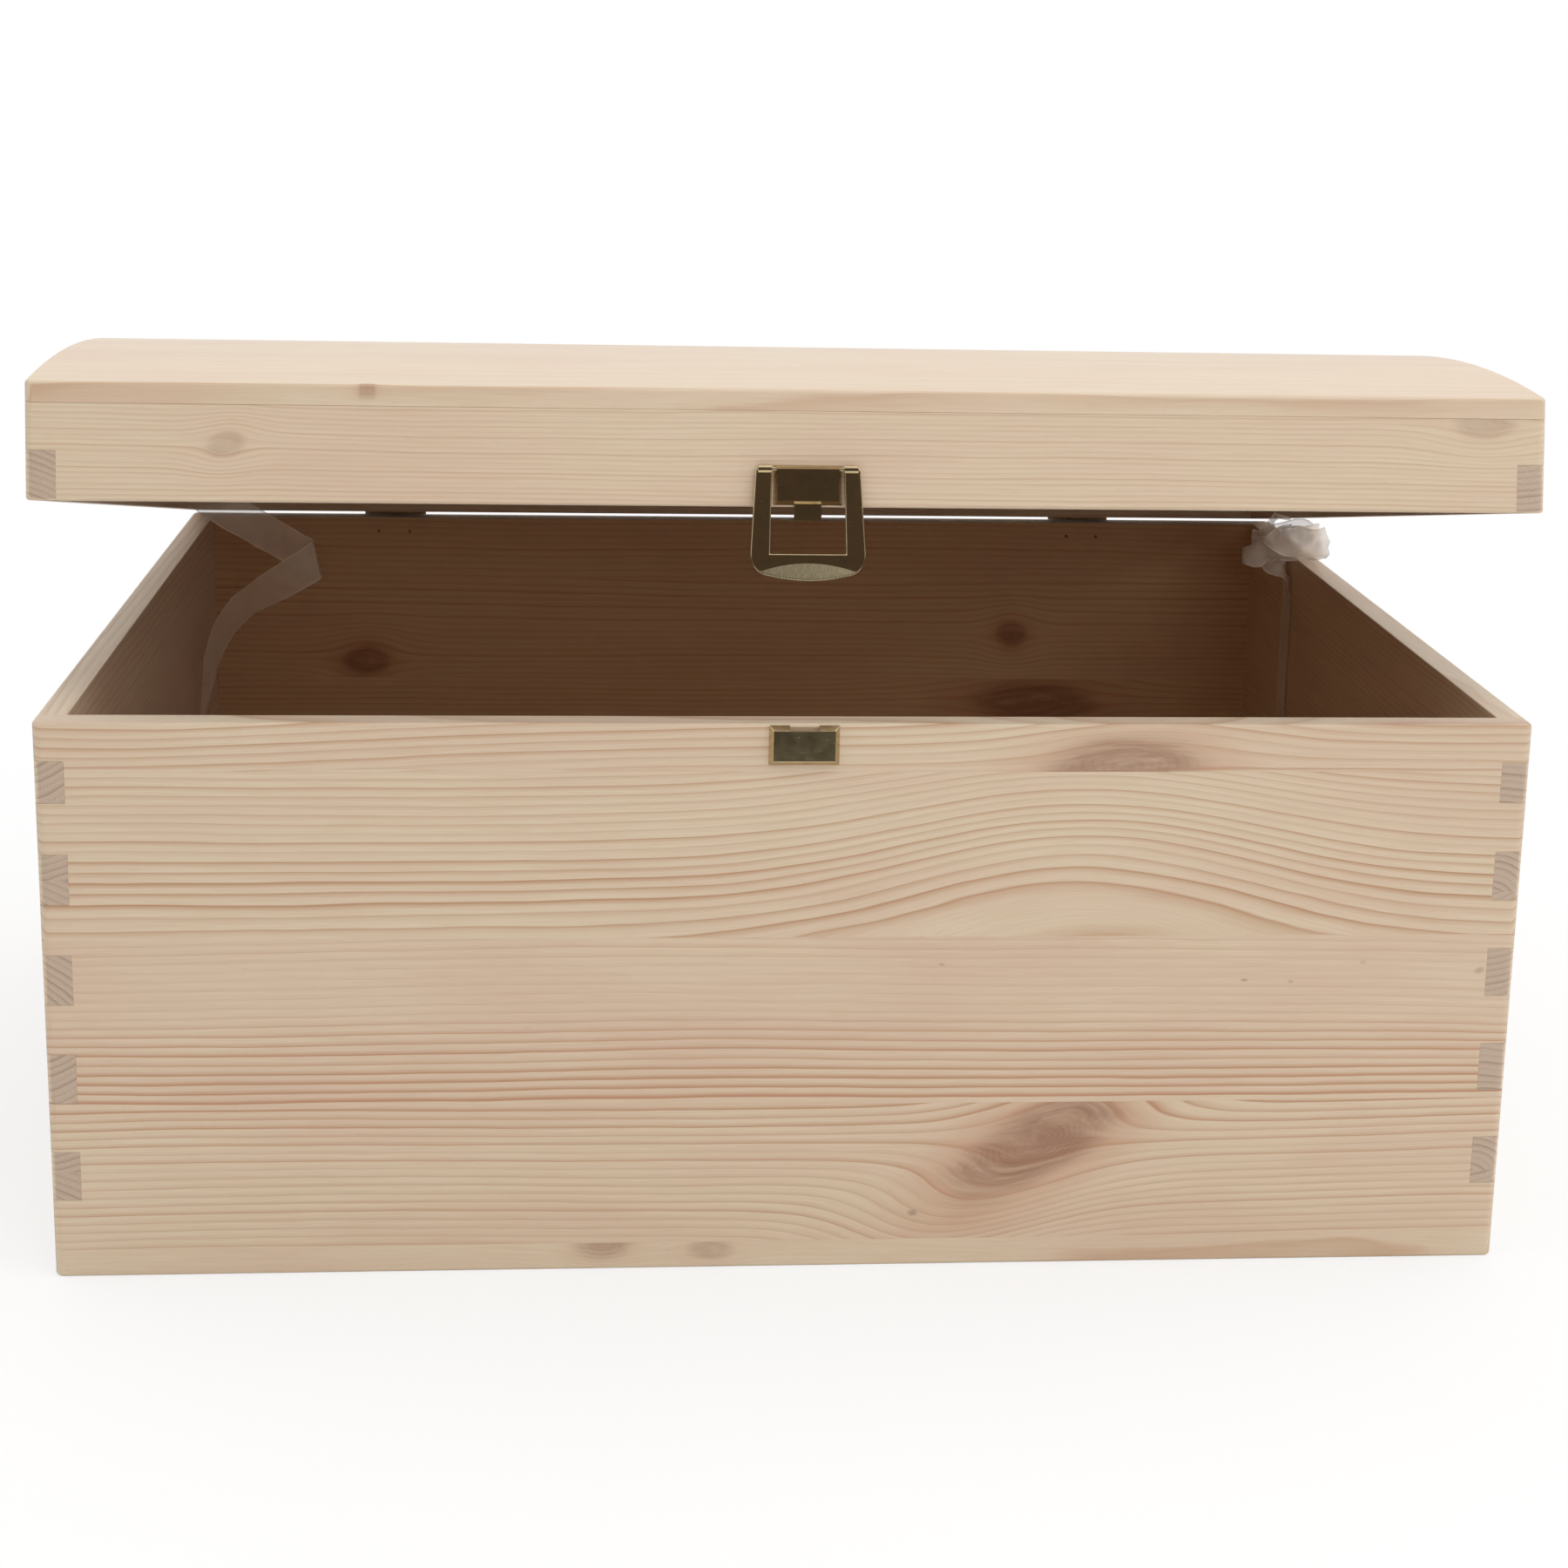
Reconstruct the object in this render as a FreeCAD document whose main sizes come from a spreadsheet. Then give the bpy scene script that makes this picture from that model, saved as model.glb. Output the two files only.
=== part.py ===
import FreeCAD, Part
import os
import re
import Sketcher

# Wooden toy box: a finger-jointed pine chest with a gently domed, hinged lid that stands ajar, a swinging
# loop clasp, two small butt hinges and two ribbon stays. Millimetres. The origin is the centre of the flat
# underside of the box, +Z is up and the front faces -Y.

doc = FreeCAD.newDocument("wooden_toy_box")
sheet = doc.addObject("Spreadsheet::Sheet", "Sizes")

# Driving dimensions. A text value that starts with "=" is worked out from the ones before it.
SIZES = [
    # carcass
    ("box_width", "400"), ("box_depth", "320"), ("box_height", "155.5"), ("wall", "8"),
    ("edge_round", "2.5"), ("bottom_ply", "4"), ("rebate", "4"),
    # finger joints, counted upwards from the floor
    ("base_finger", "22.3"), ("finger", "13.9"), ("top_pair_least", "20"), ("top_side_share", "0.52"),
    ("side_fingers", "=floor((box_height - base_finger - top_pair_least) / (2 * finger))"),
    ("top_pair_low", "=base_finger + 2 * finger * side_fingers"),
    ("top_side_finger", "=(box_height - top_pair_low) * top_side_share"),
    # lid, measured upwards from its underside
    ("lid_gap", "0.4"), ("lid_angle", "10.2"), ("lid_finger", "12.8"),
    ("rail_height", "25"), ("top_board", "5.5"), ("lid_rise", "20"), ("stave_count", "5"),
    ("dome_radius", "=(lid_rise ^ 2 + (box_depth / 2) ^ 2) / (2 * lid_rise)"),
    ("dome_centre", "=rail_height + top_board + lid_rise - dome_radius"),
    ("arch_centre", "=dome_centre - top_board"),
    # butt hinges
    ("hinge_offset", "127"), ("leaf_width", "22"), ("leaf_height", "10"), ("leaf_sheet", "0.8"),
    ("knuckle_radius", "1.5"), ("knuckle_width", "7.2"), ("knuckle_gap", "0.2"),
    ("hinge_pin_radius", "0.7"), ("running_fit", "0.05"), ("nail_spacing", "11.2"), ("nail_drop", "5.4"),
    ("nail_radius", "0.55"), ("nail_head_radius", "1.3"), ("nail_head", "0.5"), ("nail_tip", "1.6"),
    ("nail_flat", "0.15"), ("nail_out", "1.0"), ("pilot_clearance", "0.05"),
    ("pin_y", "=box_depth / 2 + knuckle_radius"), ("pin_z", "=box_height + lid_gap / 2"),
    # loop clasp
    ("clasp_offset", "1.3"), ("plate_width", "18.2"), ("plate_height", "10.5"), ("plate_low", "0.4"),
    ("plate_depth", "2.4"), ("plate_bevel", "1.0"), ("clasp_sheet", "0.6"), ("tongue_width", "7.2"),
    ("tongue_drop", "4"), ("tongue_sheet", "0.7"), ("tongue_standoff", "0.15"),
    ("axle_height", "9.4"), ("axle_standoff", "1.25"), ("axle_radius", "0.5"), ("axle_length", "25"),
    ("loop_sheet", "1.0"), ("loop_top_width", "27.5"), ("loop_width", "30.3"), ("loop_eye_radius", "1.1"),
    ("loop_eye_length", "26.4"), ("loop_reach", "29.2"), ("loop_bow", "2.4"), ("loop_corner", "4.5"),
    ("loop_window_top", "18.9"), ("loop_window_low", "20"), ("loop_window_reach", "22.2"),
    ("loop_lip", "4"), ("loop_lip_out", "1.3"), ("loop_lean", "4"),
    # catch
    ("catch_width", "19"), ("catch_height", "11"), ("catch_drop", "0.4"), ("catch_depth", "1.9"),
    ("catch_bevel", "1.3"), ("notch_clearance", "0.3"),
    # ribbon stays
    ("ribbon_width", "12"), ("ribbon_solid", "1"), ("ribbon_y", "90"), ("ribbon_clear", "0.4"),
    ("ribbon_end", "6"), ("bunch_y", "85"), ("bunch_width", "26"), ("tack_below", "65"),
    ("tack_above", "22.5"), ("tack_radius", "0.5"), ("tack_head_radius", "2"), ("tack_head", "0.6"),
    ("tack_length", "6"),
    ("pilot_depth", "=tack_length - ribbon_solid - ribbon_clear + 0.2"),
    ("tack_y", "=ribbon_y - pin_y"), ("tack_z", "=box_height + tack_above - pin_z"),
    ("tack_back", "=tack_y * cos(lid_angle) - tack_z * sin(lid_angle)"),
    ("tack_up", "=tack_y * sin(lid_angle) + tack_z * cos(lid_angle)"),
]
WORDS = [name for name, text in SIZES]

for row, (name, text) in enumerate(SIZES, start=1):
    sheet.set(f"A{row}", name)
    sheet.set(f"B{row}", text)
    sheet.setAlias(f"B{row}", name)
doc.recompute()


def formula(text):
    """Write a formula of plain size names as an expression that reads the sheet."""
    return re.sub(r"[a-z_]{2,}", lambda word: "Sizes." + word[0] if word[0] in WORDS else word[0], text)


def number(text):
    """The present value of a formula."""
    return float(sheet.evalExpression(formula(text)))


def vector(x, y):
    return FreeCAD.Vector(number(x), number(y), 0)


# ---- Sketches and features: each piece is drawn on its own body's planes and dimensioned from the sheet ----

def new_body(label):
    body = doc.addObject("PartDesign::Body", label)
    body.Label = label
    body.AllowCompound = True
    return body


def new_sketch(body, plane, name, offset="0"):
    """A sketch on one of the body's origin planes, moved along the plane's normal by the offset."""
    sketch = body.newObject("Sketcher::SketchObject", name)
    support = [item for item in body.Origin.OriginFeatures if item.Role == plane + "_Plane"]
    sketch.AttachmentSupport = [(support[0], "")]
    sketch.MapMode = "FlatFace"
    sketch.setExpression(".AttachmentOffset.Base.z", formula(offset))
    return sketch


def hold(sketch, kind, geometry, point, text):
    """Dimension a point of the sketch from its origin by a formula."""
    index = sketch.addConstraint(Sketcher.Constraint(kind, -1, 1, geometry, point, number(text)))
    sketch.setExpression(f"Constraints[{index}]", formula(text))


def outline(sketch, points, arcs=None):
    """Close a wire through the points. arcs gives a middle point for each stretch that is round."""
    arcs = arcs or {}
    corners = [vector(x, y) for x, y in points]
    first = sketch.GeometryCount
    ends = []
    for index, start in enumerate(corners):
        end = corners[(index + 1) % len(corners)]
        if index not in arcs:
            sketch.addGeometry(Part.LineSegment(start, end), False)
            ends.append((1, 2))
            continue
        middle = vector(*arcs[index])
        leftward = (middle - start).cross(end - middle).z > 0
        low, high = (start, end) if leftward else (end, start)
        bow = Part.ArcOfCircle(low, middle, high)
        sketch.addGeometry(bow, False)
        sketch.addConstraint(Sketcher.Constraint("Radius", first + index, bow.Radius))
        ends.append((1, 2) if leftward else (2, 1))
    for index in range(len(corners)):
        after = (index + 1) % len(corners)
        meeting = (first + index, ends[index][1], first + after, ends[after][0])
        sketch.addConstraint(Sketcher.Constraint("Coincident", *meeting))
    for index, (x, y) in enumerate(points):
        hold(sketch, "DistanceX", first + index, ends[index][0], x)
        hold(sketch, "DistanceY", first + index, ends[index][0], y)


def rectangle(sketch, left, low, right, high):
    outline(sketch, [(left, low), (right, low), (right, high), (left, high)])


def circle(sketch, x, y, radius):
    index = sketch.GeometryCount
    sketch.addGeometry(Part.Circle(vector(x, y), FreeCAD.Vector(0, 0, 1), number(radius)), False)
    hold(sketch, "DistanceX", index, 3, x)
    hold(sketch, "DistanceY", index, 3, y)
    size = sketch.addConstraint(Sketcher.Constraint("Radius", index, number(radius)))
    sketch.setExpression(f"Constraints[{size}]", formula(radius))


def pad(body, sketch, length, centred=True, draft=None):
    """Raise the sketch, by half the length on each side of its plane or all on its normal's side."""
    feature = body.newObject("PartDesign::Pad", "Pad" + sketch.Name)
    feature.Profile = sketch
    feature.setExpression("Length", formula(length))
    feature.SideType = "Symmetric" if centred else "One side"
    if draft:
        feature.setExpression("TaperAngle", formula(draft))
    doc.recompute()
    return feature


def pocket(body, sketch, length=None, centred=True, draft=None):
    """Cut the sketch: right through, or over a length about its plane, or on its normal's side only."""
    before = body.Shape.Volume
    feature = body.newObject("PartDesign::Pocket", "Cut" + sketch.Name)
    feature.Profile = sketch
    feature.SideType = "Symmetric" if centred else "One side"
    feature.Reversed = not centred
    feature.Type = "Length" if length else "ThroughAll"
    if length:
        feature.setExpression("Length", formula(length))
    if draft:
        feature.setExpression("TaperAngle", formula(draft))
    doc.recompute()
    if not body.Shape.Volume < before:
        raise RuntimeError(f"{body.Label}: {sketch.Name} cuts nothing")
    return feature


def turn(body, sketch):
    """Turn the sketch about its own vertical axis."""
    feature = body.newObject("PartDesign::Revolution", "Turned" + sketch.Name)
    feature.Profile = sketch
    feature.ReferenceAxis = (sketch, ["V_Axis"])
    feature.Angle = 360
    doc.recompute()
    return feature


def repeat(body, feature, sketch, length):
    """Set a second copy of the feature along the sketch's horizontal axis."""
    pattern = body.newObject("PartDesign::LinearPattern", "Pair")
    pattern.Originals = [feature]
    pattern.Direction = (sketch, ["H_Axis"])
    pattern.setExpression("Length", formula(length))
    pattern.Occurrences = 2
    body.Tip = pattern
    doc.recompute()


def round_uprights(body, corners, radius):
    """Round the upright edges that stand at the corners, each a pair of formulas in the body's own frame."""
    base = body.Tip
    places = [vector(x, y) for x, y in corners]
    chosen = []
    for index, edge in enumerate(base.Shape.Edges, start=1):
        feet = [FreeCAD.Vector(vertex.X, vertex.Y, 0) for vertex in edge.Vertexes]
        if len(feet) == 2 and any(feet[0].isEqual(corner, 1e-4) and feet[1].isEqual(corner, 1e-4)
                                  for corner in places):
            chosen.append(f"Edge{index}")
    feature = body.newObject("PartDesign::Fillet", "Rounding")
    feature.Base = (base, chosen)
    feature.setExpression("Radius", formula(radius))
    doc.recompute()


def place(body, x="0", y="0", z="0"):
    """Set a piece of the box."""
    for axis, text in zip("xyz", (x, y, z)):
        body.setExpression(f".Placement.Base.{axis}", formula(text))


def place_on_lid(body, x="0", y="0", z="0", extra_angle="0"):
    """Set a piece of the lid. x, y and z start at the hinge axis, in the lid's own directions, and the lid
    stands open by its angle. A piece that swings on the lid adds an angle of its own."""
    body.Placement = FreeCAD.Placement(FreeCAD.Vector(), FreeCAD.Rotation(FreeCAD.Vector(-1, 0, 0), 1))
    body.setExpression(".Placement.Rotation.Angle", formula(f"(lid_angle + {extra_angle}) * 1 deg"))
    body.setExpression(".Placement.Base.x", formula(x))
    back = f"pin_y + ({y}) * cos(lid_angle) + ({z}) * sin(lid_angle)"
    up = f"pin_z - ({y}) * sin(lid_angle) + ({z}) * cos(lid_angle)"
    body.setExpression(".Placement.Base.y", formula(back))
    body.setExpression(".Placement.Base.z", formula(up))


# ---- Box: four finger-jointed pine panels around a plywood bottom ----

def finger_slots(sketch, end, slots):
    """Rectangles at both ends of a panel, from the end inwards by one wall, over each height given."""
    for low, high in slots:
        rectangle(sketch, f"-({end})", low, f"wall - ({end})", high)
        rectangle(sketch, f"({end}) - wall", low, end, high)


full_fingers = int(number("side_fingers"))
side_heights = [(f"base_finger + 2 * finger * {i}", f"base_finger + finger * {2 * i + 1}")
                for i in range(full_fingers)]
side_heights.append(("top_pair_low", "top_pair_low + top_side_finger"))
front_heights = [("0", "base_finger")]
front_heights += [(f"base_finger + finger * {2 * i + 1}", f"base_finger + finger * {2 * i + 2}")
                  for i in range(full_fingers)]
front_heights.append(("top_pair_low + top_side_finger", "box_height"))


def long_panel(label, inward):
    """Front or back: its fingers reach the corners where the side panels' do not. inward is 1 or -1."""
    body = new_body(label)
    board = new_sketch(body, "XZ", "Board")
    rectangle(board, "-box_width / 2", "0", "box_width / 2", "box_height")
    pad(body, board, "wall")
    slots = new_sketch(body, "XZ", "Slots")
    finger_slots(slots, "box_width / 2", side_heights)
    pocket(body, slots)
    step = new_sketch(body, "YZ", "Rebate")
    near, far = f"{inward} * (wall / 2 - rebate)", f"{inward} * wall / 2"
    rectangle(step, near, "0", far, "bottom_ply")
    pocket(body, step, "box_width - 2 * wall + 2 * rebate")
    outer = f"{-inward} * wall / 2"
    round_uprights(body, [("-box_width / 2", outer), ("box_width / 2", outer)], "edge_round")
    place(body, y=f"{inward} * (wall - box_depth) / 2")
    return body


long_panel("front_panel", 1)

back_panel = long_panel("back_panel", -1)
pilots = new_sketch(back_panel, "XZ", "Pilots")
for hinge_side in (-1, 1):
    for nail_side in (-1, 1):
        nail_x = f"{hinge_side} * hinge_offset + {nail_side} * nail_spacing / 2"
        circle(pilots, nail_x, "pin_z - nail_drop", "nail_radius + pilot_clearance")
pocket(back_panel, pilots)


def side_panel(label, inward):
    """Left or right: its fingers fill the slots of the front and back panels."""
    body = new_body(label)
    board = new_sketch(body, "YZ", "Board")
    rectangle(board, "-box_depth / 2", "0", "box_depth / 2", "box_height")
    pad(body, board, "wall")
    slots = new_sketch(body, "YZ", "Slots")
    finger_slots(slots, "box_depth / 2", front_heights)
    pocket(body, slots)
    step = new_sketch(body, "XZ", "Rebate")
    near, far = f"{inward} * (wall / 2 - rebate)", f"{inward} * wall / 2"
    rectangle(step, near, "0", far, "bottom_ply")
    pocket(body, step)
    tack_hole = new_sketch(body, "YZ", "TackHole", f"{inward} * wall / 2")
    circle(tack_hole, "ribbon_y", "box_height - tack_below", "tack_radius + pilot_clearance")
    pocket(body, tack_hole, "2 * pilot_depth")
    outer = f"{-inward} * wall / 2"
    round_uprights(body, [(outer, "-box_depth / 2"), (outer, "box_depth / 2")], "edge_round")
    place(body, x=f"{-inward} * (box_width - wall) / 2")


side_panel("left_panel", 1)
side_panel("right_panel", -1)

bottom_panel = new_body("bottom_panel")
sheet_outline = new_sketch(bottom_panel, "XY", "Ply")
half_x, half_y = "box_width / 2 - wall + rebate", "box_depth / 2 - wall + rebate"
rectangle(sheet_outline, f"-({half_x})", f"-({half_y})", half_x, half_y)
pad(bottom_panel, sheet_outline, "bottom_ply")
place(bottom_panel, z="bottom_ply / 2")


# ---- Lid: four low rails with one finger each, under a domed top of glued staves ----
# Every lid piece is drawn from the hinge axis: y runs back from the axis and z up from it.

LID_MIDDLE = "-pin_y"
LID_UNDER = "lid_gap / 2"


def lid_point(y, z):
    """A place on the closed lid's cross-section, y from its middle and z from its underside."""
    return f"({y}) + ({LID_MIDDLE})", f"({z}) + {LID_UNDER}"


def arch(centre, y):
    """Height of the arch at y, above the lid's underside."""
    return f"{centre} + sqrt(dome_radius ^ 2 - ({y}) ^ 2)"


def lid_corners(end):
    """The lid's two corners at the front, end -1, or at the back, end 1."""
    return [(f"{side} * box_width / 2", f"{end} * box_depth / 2 + ({LID_MIDDLE})") for side in (-1, 1)]


INNER_EDGE = "box_depth / 2 - wall"


def lid_rail(label, outward):
    """Front or back rail: a board whose top edge is bevelled to lie against the dome."""
    body = new_body(label)
    section = new_sketch(body, "YZ", "Section")
    outer, inner = f"{outward} * box_depth / 2", f"{outward} * ({INNER_EDGE})"
    outline(section, [lid_point(outer, "0"), lid_point(inner, "0"),
                      lid_point(inner, arch("arch_centre", INNER_EDGE)),
                      lid_point(outer, "rail_height")])
    pad(body, section, "box_width")
    slots = new_sketch(body, "XZ", "Slots")
    finger_slots(slots, "box_width / 2", [(LID_UNDER, f"lid_finger + {LID_UNDER}")])
    pocket(body, slots)
    round_uprights(body, lid_corners(outward), "edge_round")
    place_on_lid(body)
    return body


lid_rail("lid_front_rail", -1)

lid_back_rail = lid_rail("lid_back_rail", 1)
lid_pilots = new_sketch(lid_back_rail, "XZ", "Pilots")
for hinge_side in (-1, 1):
    for nail_side in (-1, 1):
        nail_x = f"{hinge_side} * hinge_offset + {nail_side} * nail_spacing / 2"
        circle(lid_pilots, nail_x, "nail_drop", "nail_radius + pilot_clearance")
pocket(lid_back_rail, lid_pilots)


def lid_end(label, side):
    """Left or right end: an arched board with a finger at each foot."""
    body = new_body(label)
    board = new_sketch(body, "YZ", "Board")
    shoulder = arch("arch_centre", INNER_EDGE)
    back_half = [("box_depth / 2", "0"), ("box_depth / 2", "lid_finger"), (INNER_EDGE, "lid_finger"),
                 (INNER_EDGE, shoulder)]
    front_half = [(f"-({y})", z) for y, z in reversed(back_half)]
    points = [lid_point(y, z) for y, z in back_half + front_half]
    outline(board, points, {3: lid_point("0", arch("arch_centre", "0"))})
    pad(body, board, "wall")
    tack_hole = new_sketch(body, "YZ", "TackHole", f"{-side} * wall / 2")
    circle(tack_hole, "tack_back", "tack_up", "tack_radius + pilot_clearance")
    pocket(body, tack_hole, "2 * pilot_depth")
    outer = f"{side} * wall / 2"
    corners = [(outer, f"{end} * box_depth / 2 + ({LID_MIDDLE})") for end in (-1, 1)]
    round_uprights(body, corners, "edge_round")
    place_on_lid(body, x=f"{side} * (box_width - wall) / 2")


lid_end("lid_left_end", -1)
lid_end("lid_right_end", 1)

staves = int(number("stave_count"))
for index in range(staves):
    stave = new_body(f"lid_stave_{index + 1}")
    section = new_sketch(stave, "YZ", "Section")
    low = f"box_depth * ({index} / {staves} - 1 / 2)"
    high = f"box_depth * ({index + 1} / {staves} - 1 / 2)"
    middle = f"box_depth * ({2 * index + 1} / {2 * staves} - 1 / 2)"
    outline(section,
            [lid_point(low, arch("arch_centre", low)), lid_point(high, arch("arch_centre", high)),
             lid_point(high, arch("dome_centre", high)), lid_point(low, arch("dome_centre", low))],
            {0: lid_point(middle, arch("arch_centre", middle)),
             2: lid_point(middle, arch("dome_centre", middle))})
    pad(stave, section, "box_width")
    if index == 0:
        round_uprights(stave, lid_corners(-1), "edge_round")
    if index == staves - 1:
        round_uprights(stave, lid_corners(1), "edge_round")
    place_on_lid(stave)


# ---- Butt hinges: two rolled leaves on a pin, nailed to the outside of the back ----

WALL_FACE = "-knuckle_radius"


def hinge_leaf(label, side, hinge_x):
    """One leaf, drawn from the pin: a strip that lies on the wood and rolls round the pin. side is -1 for
    the leaf on the box, which has the two outer knuckles, and 1 for the leaf on the lid."""
    body = new_body(label)
    roll = new_sketch(body, "YZ", "Roll")
    strip_face = f"{WALL_FACE} + leaf_sheet"
    meet = f"{side} * sqrt(knuckle_radius ^ 2 - ({strip_face}) ^ 2)"
    outline(roll, [(WALL_FACE, f"{side} * leaf_height"), (strip_face, f"{side} * leaf_height"),
                   (strip_face, meet), (WALL_FACE, "0")],
            {2: ("knuckle_radius", "0")})
    pad(body, roll, "leaf_width")
    bore = new_sketch(body, "YZ", "Bore")
    circle(bore, "0", "0", "hinge_pin_radius + running_fit")
    pocket(body, bore)
    gap = new_sketch(body, "XZ", "KnuckleGap")
    clear = "knuckle_radius + knuckle_gap"
    low, high = (f"-({clear})", clear)
    if side < 0:
        rectangle(gap, "-(knuckle_width / 2 + knuckle_gap)", low, "knuckle_width / 2 + knuckle_gap", high)
    else:
        rectangle(gap, "-leaf_width / 2", low, "-knuckle_width / 2", high)
        rectangle(gap, "knuckle_width / 2", low, "leaf_width / 2", high)
    pocket(body, gap)
    holes = new_sketch(body, "XZ", "NailHoles")
    for nail_side in (-1, 1):
        nail_x = f"{nail_side} * nail_spacing / 2"
        circle(holes, nail_x, f"{side} * nail_drop", "nail_radius + pilot_clearance")
    pocket(body, holes)
    if side < 0:
        place(body, hinge_x, "pin_y", "pin_z")
    else:
        place_on_lid(body, hinge_x)


def hinge_nails(label, side, hinge_x):
    """Two small nails, driven right through so that their points show inside."""
    body = new_body(label)
    nail = new_sketch(body, "XY", "Nail")
    head_face = f"{WALL_FACE} + leaf_sheet"
    point = f"{WALL_FACE} - wall - nail_out"
    outline(nail, [("0", point), ("nail_flat", point), ("nail_radius", f"{point} + nail_tip"),
                   ("nail_radius", head_face), ("nail_head_radius", head_face),
                   ("nail_head_radius", f"{head_face} + nail_head / 2"),
                   ("nail_head_radius * 0.6", f"{head_face} + nail_head"), ("0", f"{head_face} + nail_head")])
    repeat(body, turn(body, nail), nail, "nail_spacing")
    first_x = f"({hinge_x}) - nail_spacing / 2"
    if side < 0:
        place(body, first_x, "pin_y", "pin_z - nail_drop")
    else:
        place_on_lid(body, first_x, "0", "nail_drop")


for hand, direction in (("left", -1), ("right", 1)):
    hinge_x = f"{direction} * hinge_offset"
    hinge_leaf(f"hinge_{hand}_box_leaf", -1, hinge_x)
    hinge_leaf(f"hinge_{hand}_lid_leaf", 1, hinge_x)
    hinge_nails(f"hinge_{hand}_box_nails", -1, hinge_x)
    hinge_nails(f"hinge_{hand}_lid_nails", 1, hinge_x)
    hinge_pin = new_body(f"hinge_{hand}_pin")
    pin_end = new_sketch(hinge_pin, "YZ", "End")
    circle(pin_end, "0", "0", "hinge_pin_radius")
    pad(hinge_pin, pin_end, "leaf_width")
    place(hinge_pin, hinge_x, "pin_y", "pin_z")


# ---- Loop clasp: a pressed plate with a tongue and a loop on the lid, a pressed catch on the box ----

def pressed_tray(body, width, low, high, depth, bevel):
    """A sheet cup with bevelled sides, open towards the wood that it is pressed against. Its outline is
    drawn on the wood's face, and its front stands off by the depth."""
    rim = new_sketch(body, "XZ", "Rim")
    rectangle(rim, f"-{width} / 2", low, f"{width} / 2", high)
    draft = f"-atan({bevel} / {depth})"
    pad(body, rim, depth, centred=False, draft=draft)
    hollow = new_sketch(body, "XZ", "Hollow")
    rectangle(hollow, f"clasp_sheet - {width} / 2", f"{low} + clasp_sheet", f"{width} / 2 - clasp_sheet",
              f"{high} - clasp_sheet")
    pocket(body, hollow, f"{depth} - clasp_sheet", centred=False, draft=draft)


LID_FRONT = f"{LID_MIDDLE} - box_depth / 2"
PLATE_FOOT = f"{LID_UNDER} + plate_low"

clasp_plate = new_body("clasp_plate")
pressed_tray(clasp_plate, "plate_width", "0", "plate_height", "plate_depth", "plate_bevel")
tongue = new_sketch(clasp_plate, "XZ", "Tongue", "tongue_standoff")
rectangle(tongue, "-tongue_width / 2", "-tongue_drop", "tongue_width / 2", "clasp_sheet")
pad(clasp_plate, tongue, "tongue_sheet", centred=False)
axle_hole = new_sketch(clasp_plate, "YZ", "AxleHole")
circle(axle_hole, "-axle_standoff", "axle_height", "axle_radius + running_fit")
pocket(clasp_plate, axle_hole)
place_on_lid(clasp_plate, "clasp_offset", LID_FRONT, PLATE_FOOT)

AXLE = ("clasp_offset", f"{LID_FRONT} - axle_standoff", f"{PLATE_FOOT} + axle_height")

clasp_pin = new_body("clasp_pin")
axle_end = new_sketch(clasp_pin, "YZ", "End")
circle(axle_end, "0", "0", "axle_radius")
pad(clasp_pin, axle_end, "axle_length")
place_on_lid(clasp_pin, *AXLE)

clasp_loop = new_body("clasp_loop")
strip = new_sketch(clasp_loop, "YZ", "Strip")
half = "loop_sheet / 2"
outline(strip, [(half, "loop_eye_radius"), (f"-{half}", "loop_eye_radius"),
                (f"-{half}", "loop_lip - loop_reach"), (f"-{half} - loop_lip_out", "-loop_reach"),
                (f"{half} - loop_lip_out", "-loop_reach"), (half, "loop_lip - loop_reach")])
pad(clasp_loop, strip, "loop_width")
eye = new_sketch(clasp_loop, "YZ", "Eye")
circle(eye, "0", "0", "loop_eye_radius")
pad(clasp_loop, eye, "loop_eye_length")
trim = new_sketch(clasp_loop, "XZ", "Trim")
rectangle(trim, "-loop_width", "-2 * loop_reach", "loop_width", "loop_reach")
low_corner = "loop_bow + loop_corner - loop_reach"
right_edge = [("loop_top_width / 2", "loop_eye_radius"), ("loop_width / 2", low_corner),
              ("loop_width / 2 - loop_corner", "loop_bow * 0.6 - loop_reach")]
left_edge = [(f"-({x})", y) for x, y in reversed(right_edge)]
corner_middle = ("loop_width / 2 - loop_corner * 0.3", "loop_bow + loop_corner * 0.2 - loop_reach")
outline(trim, right_edge + left_edge,
        {1: corner_middle, 2: ("0", "-loop_reach"), 3: (f"-({corner_middle[0]})", corner_middle[1])})
pocket(clasp_loop, trim)
window = new_sketch(clasp_loop, "XZ", "Window")
outline(window, [("-loop_window_low / 2", "-loop_window_reach"),
                 ("loop_window_low / 2", "-loop_window_reach"),
                 ("loop_window_top / 2", "loop_eye_radius"), ("-loop_window_top / 2", "loop_eye_radius")])
pocket(clasp_loop, window)
loop_bore = new_sketch(clasp_loop, "YZ", "Bore")
circle(loop_bore, "0", "0", "axle_radius + running_fit")
pocket(clasp_loop, loop_bore, "axle_length + 2 * knuckle_gap")
place_on_lid(clasp_loop, *AXLE, extra_angle="loop_lean")

catch_plate = new_body("catch_plate")
pressed_tray(catch_plate, "catch_width", "-catch_height", "0", "catch_depth", "catch_bevel")
notch = new_sketch(catch_plate, "XZ", "Notch")
notch_half = "tongue_width / 2 + notch_clearance"
rectangle(notch, f"-({notch_half})", "-catch_bevel", notch_half, "catch_bevel")
pocket(catch_plate, notch)
place(catch_plate, "clasp_offset", "-box_depth / 2", "box_height - catch_drop")


# ---- Ribbon stays: one hangs in a slack fold at the left, one lies bunched on the rim at the right ----
# Each is tacked inside, to the side panel below the rim and to the end of the lid above it.

INNER_X = "box_width / 2 - wall"
BAND_X = f"{INNER_X} - ribbon_clear"
BOX_TACK = "box_height - tack_below"
LID_TACK = "box_height + tack_above"


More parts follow.
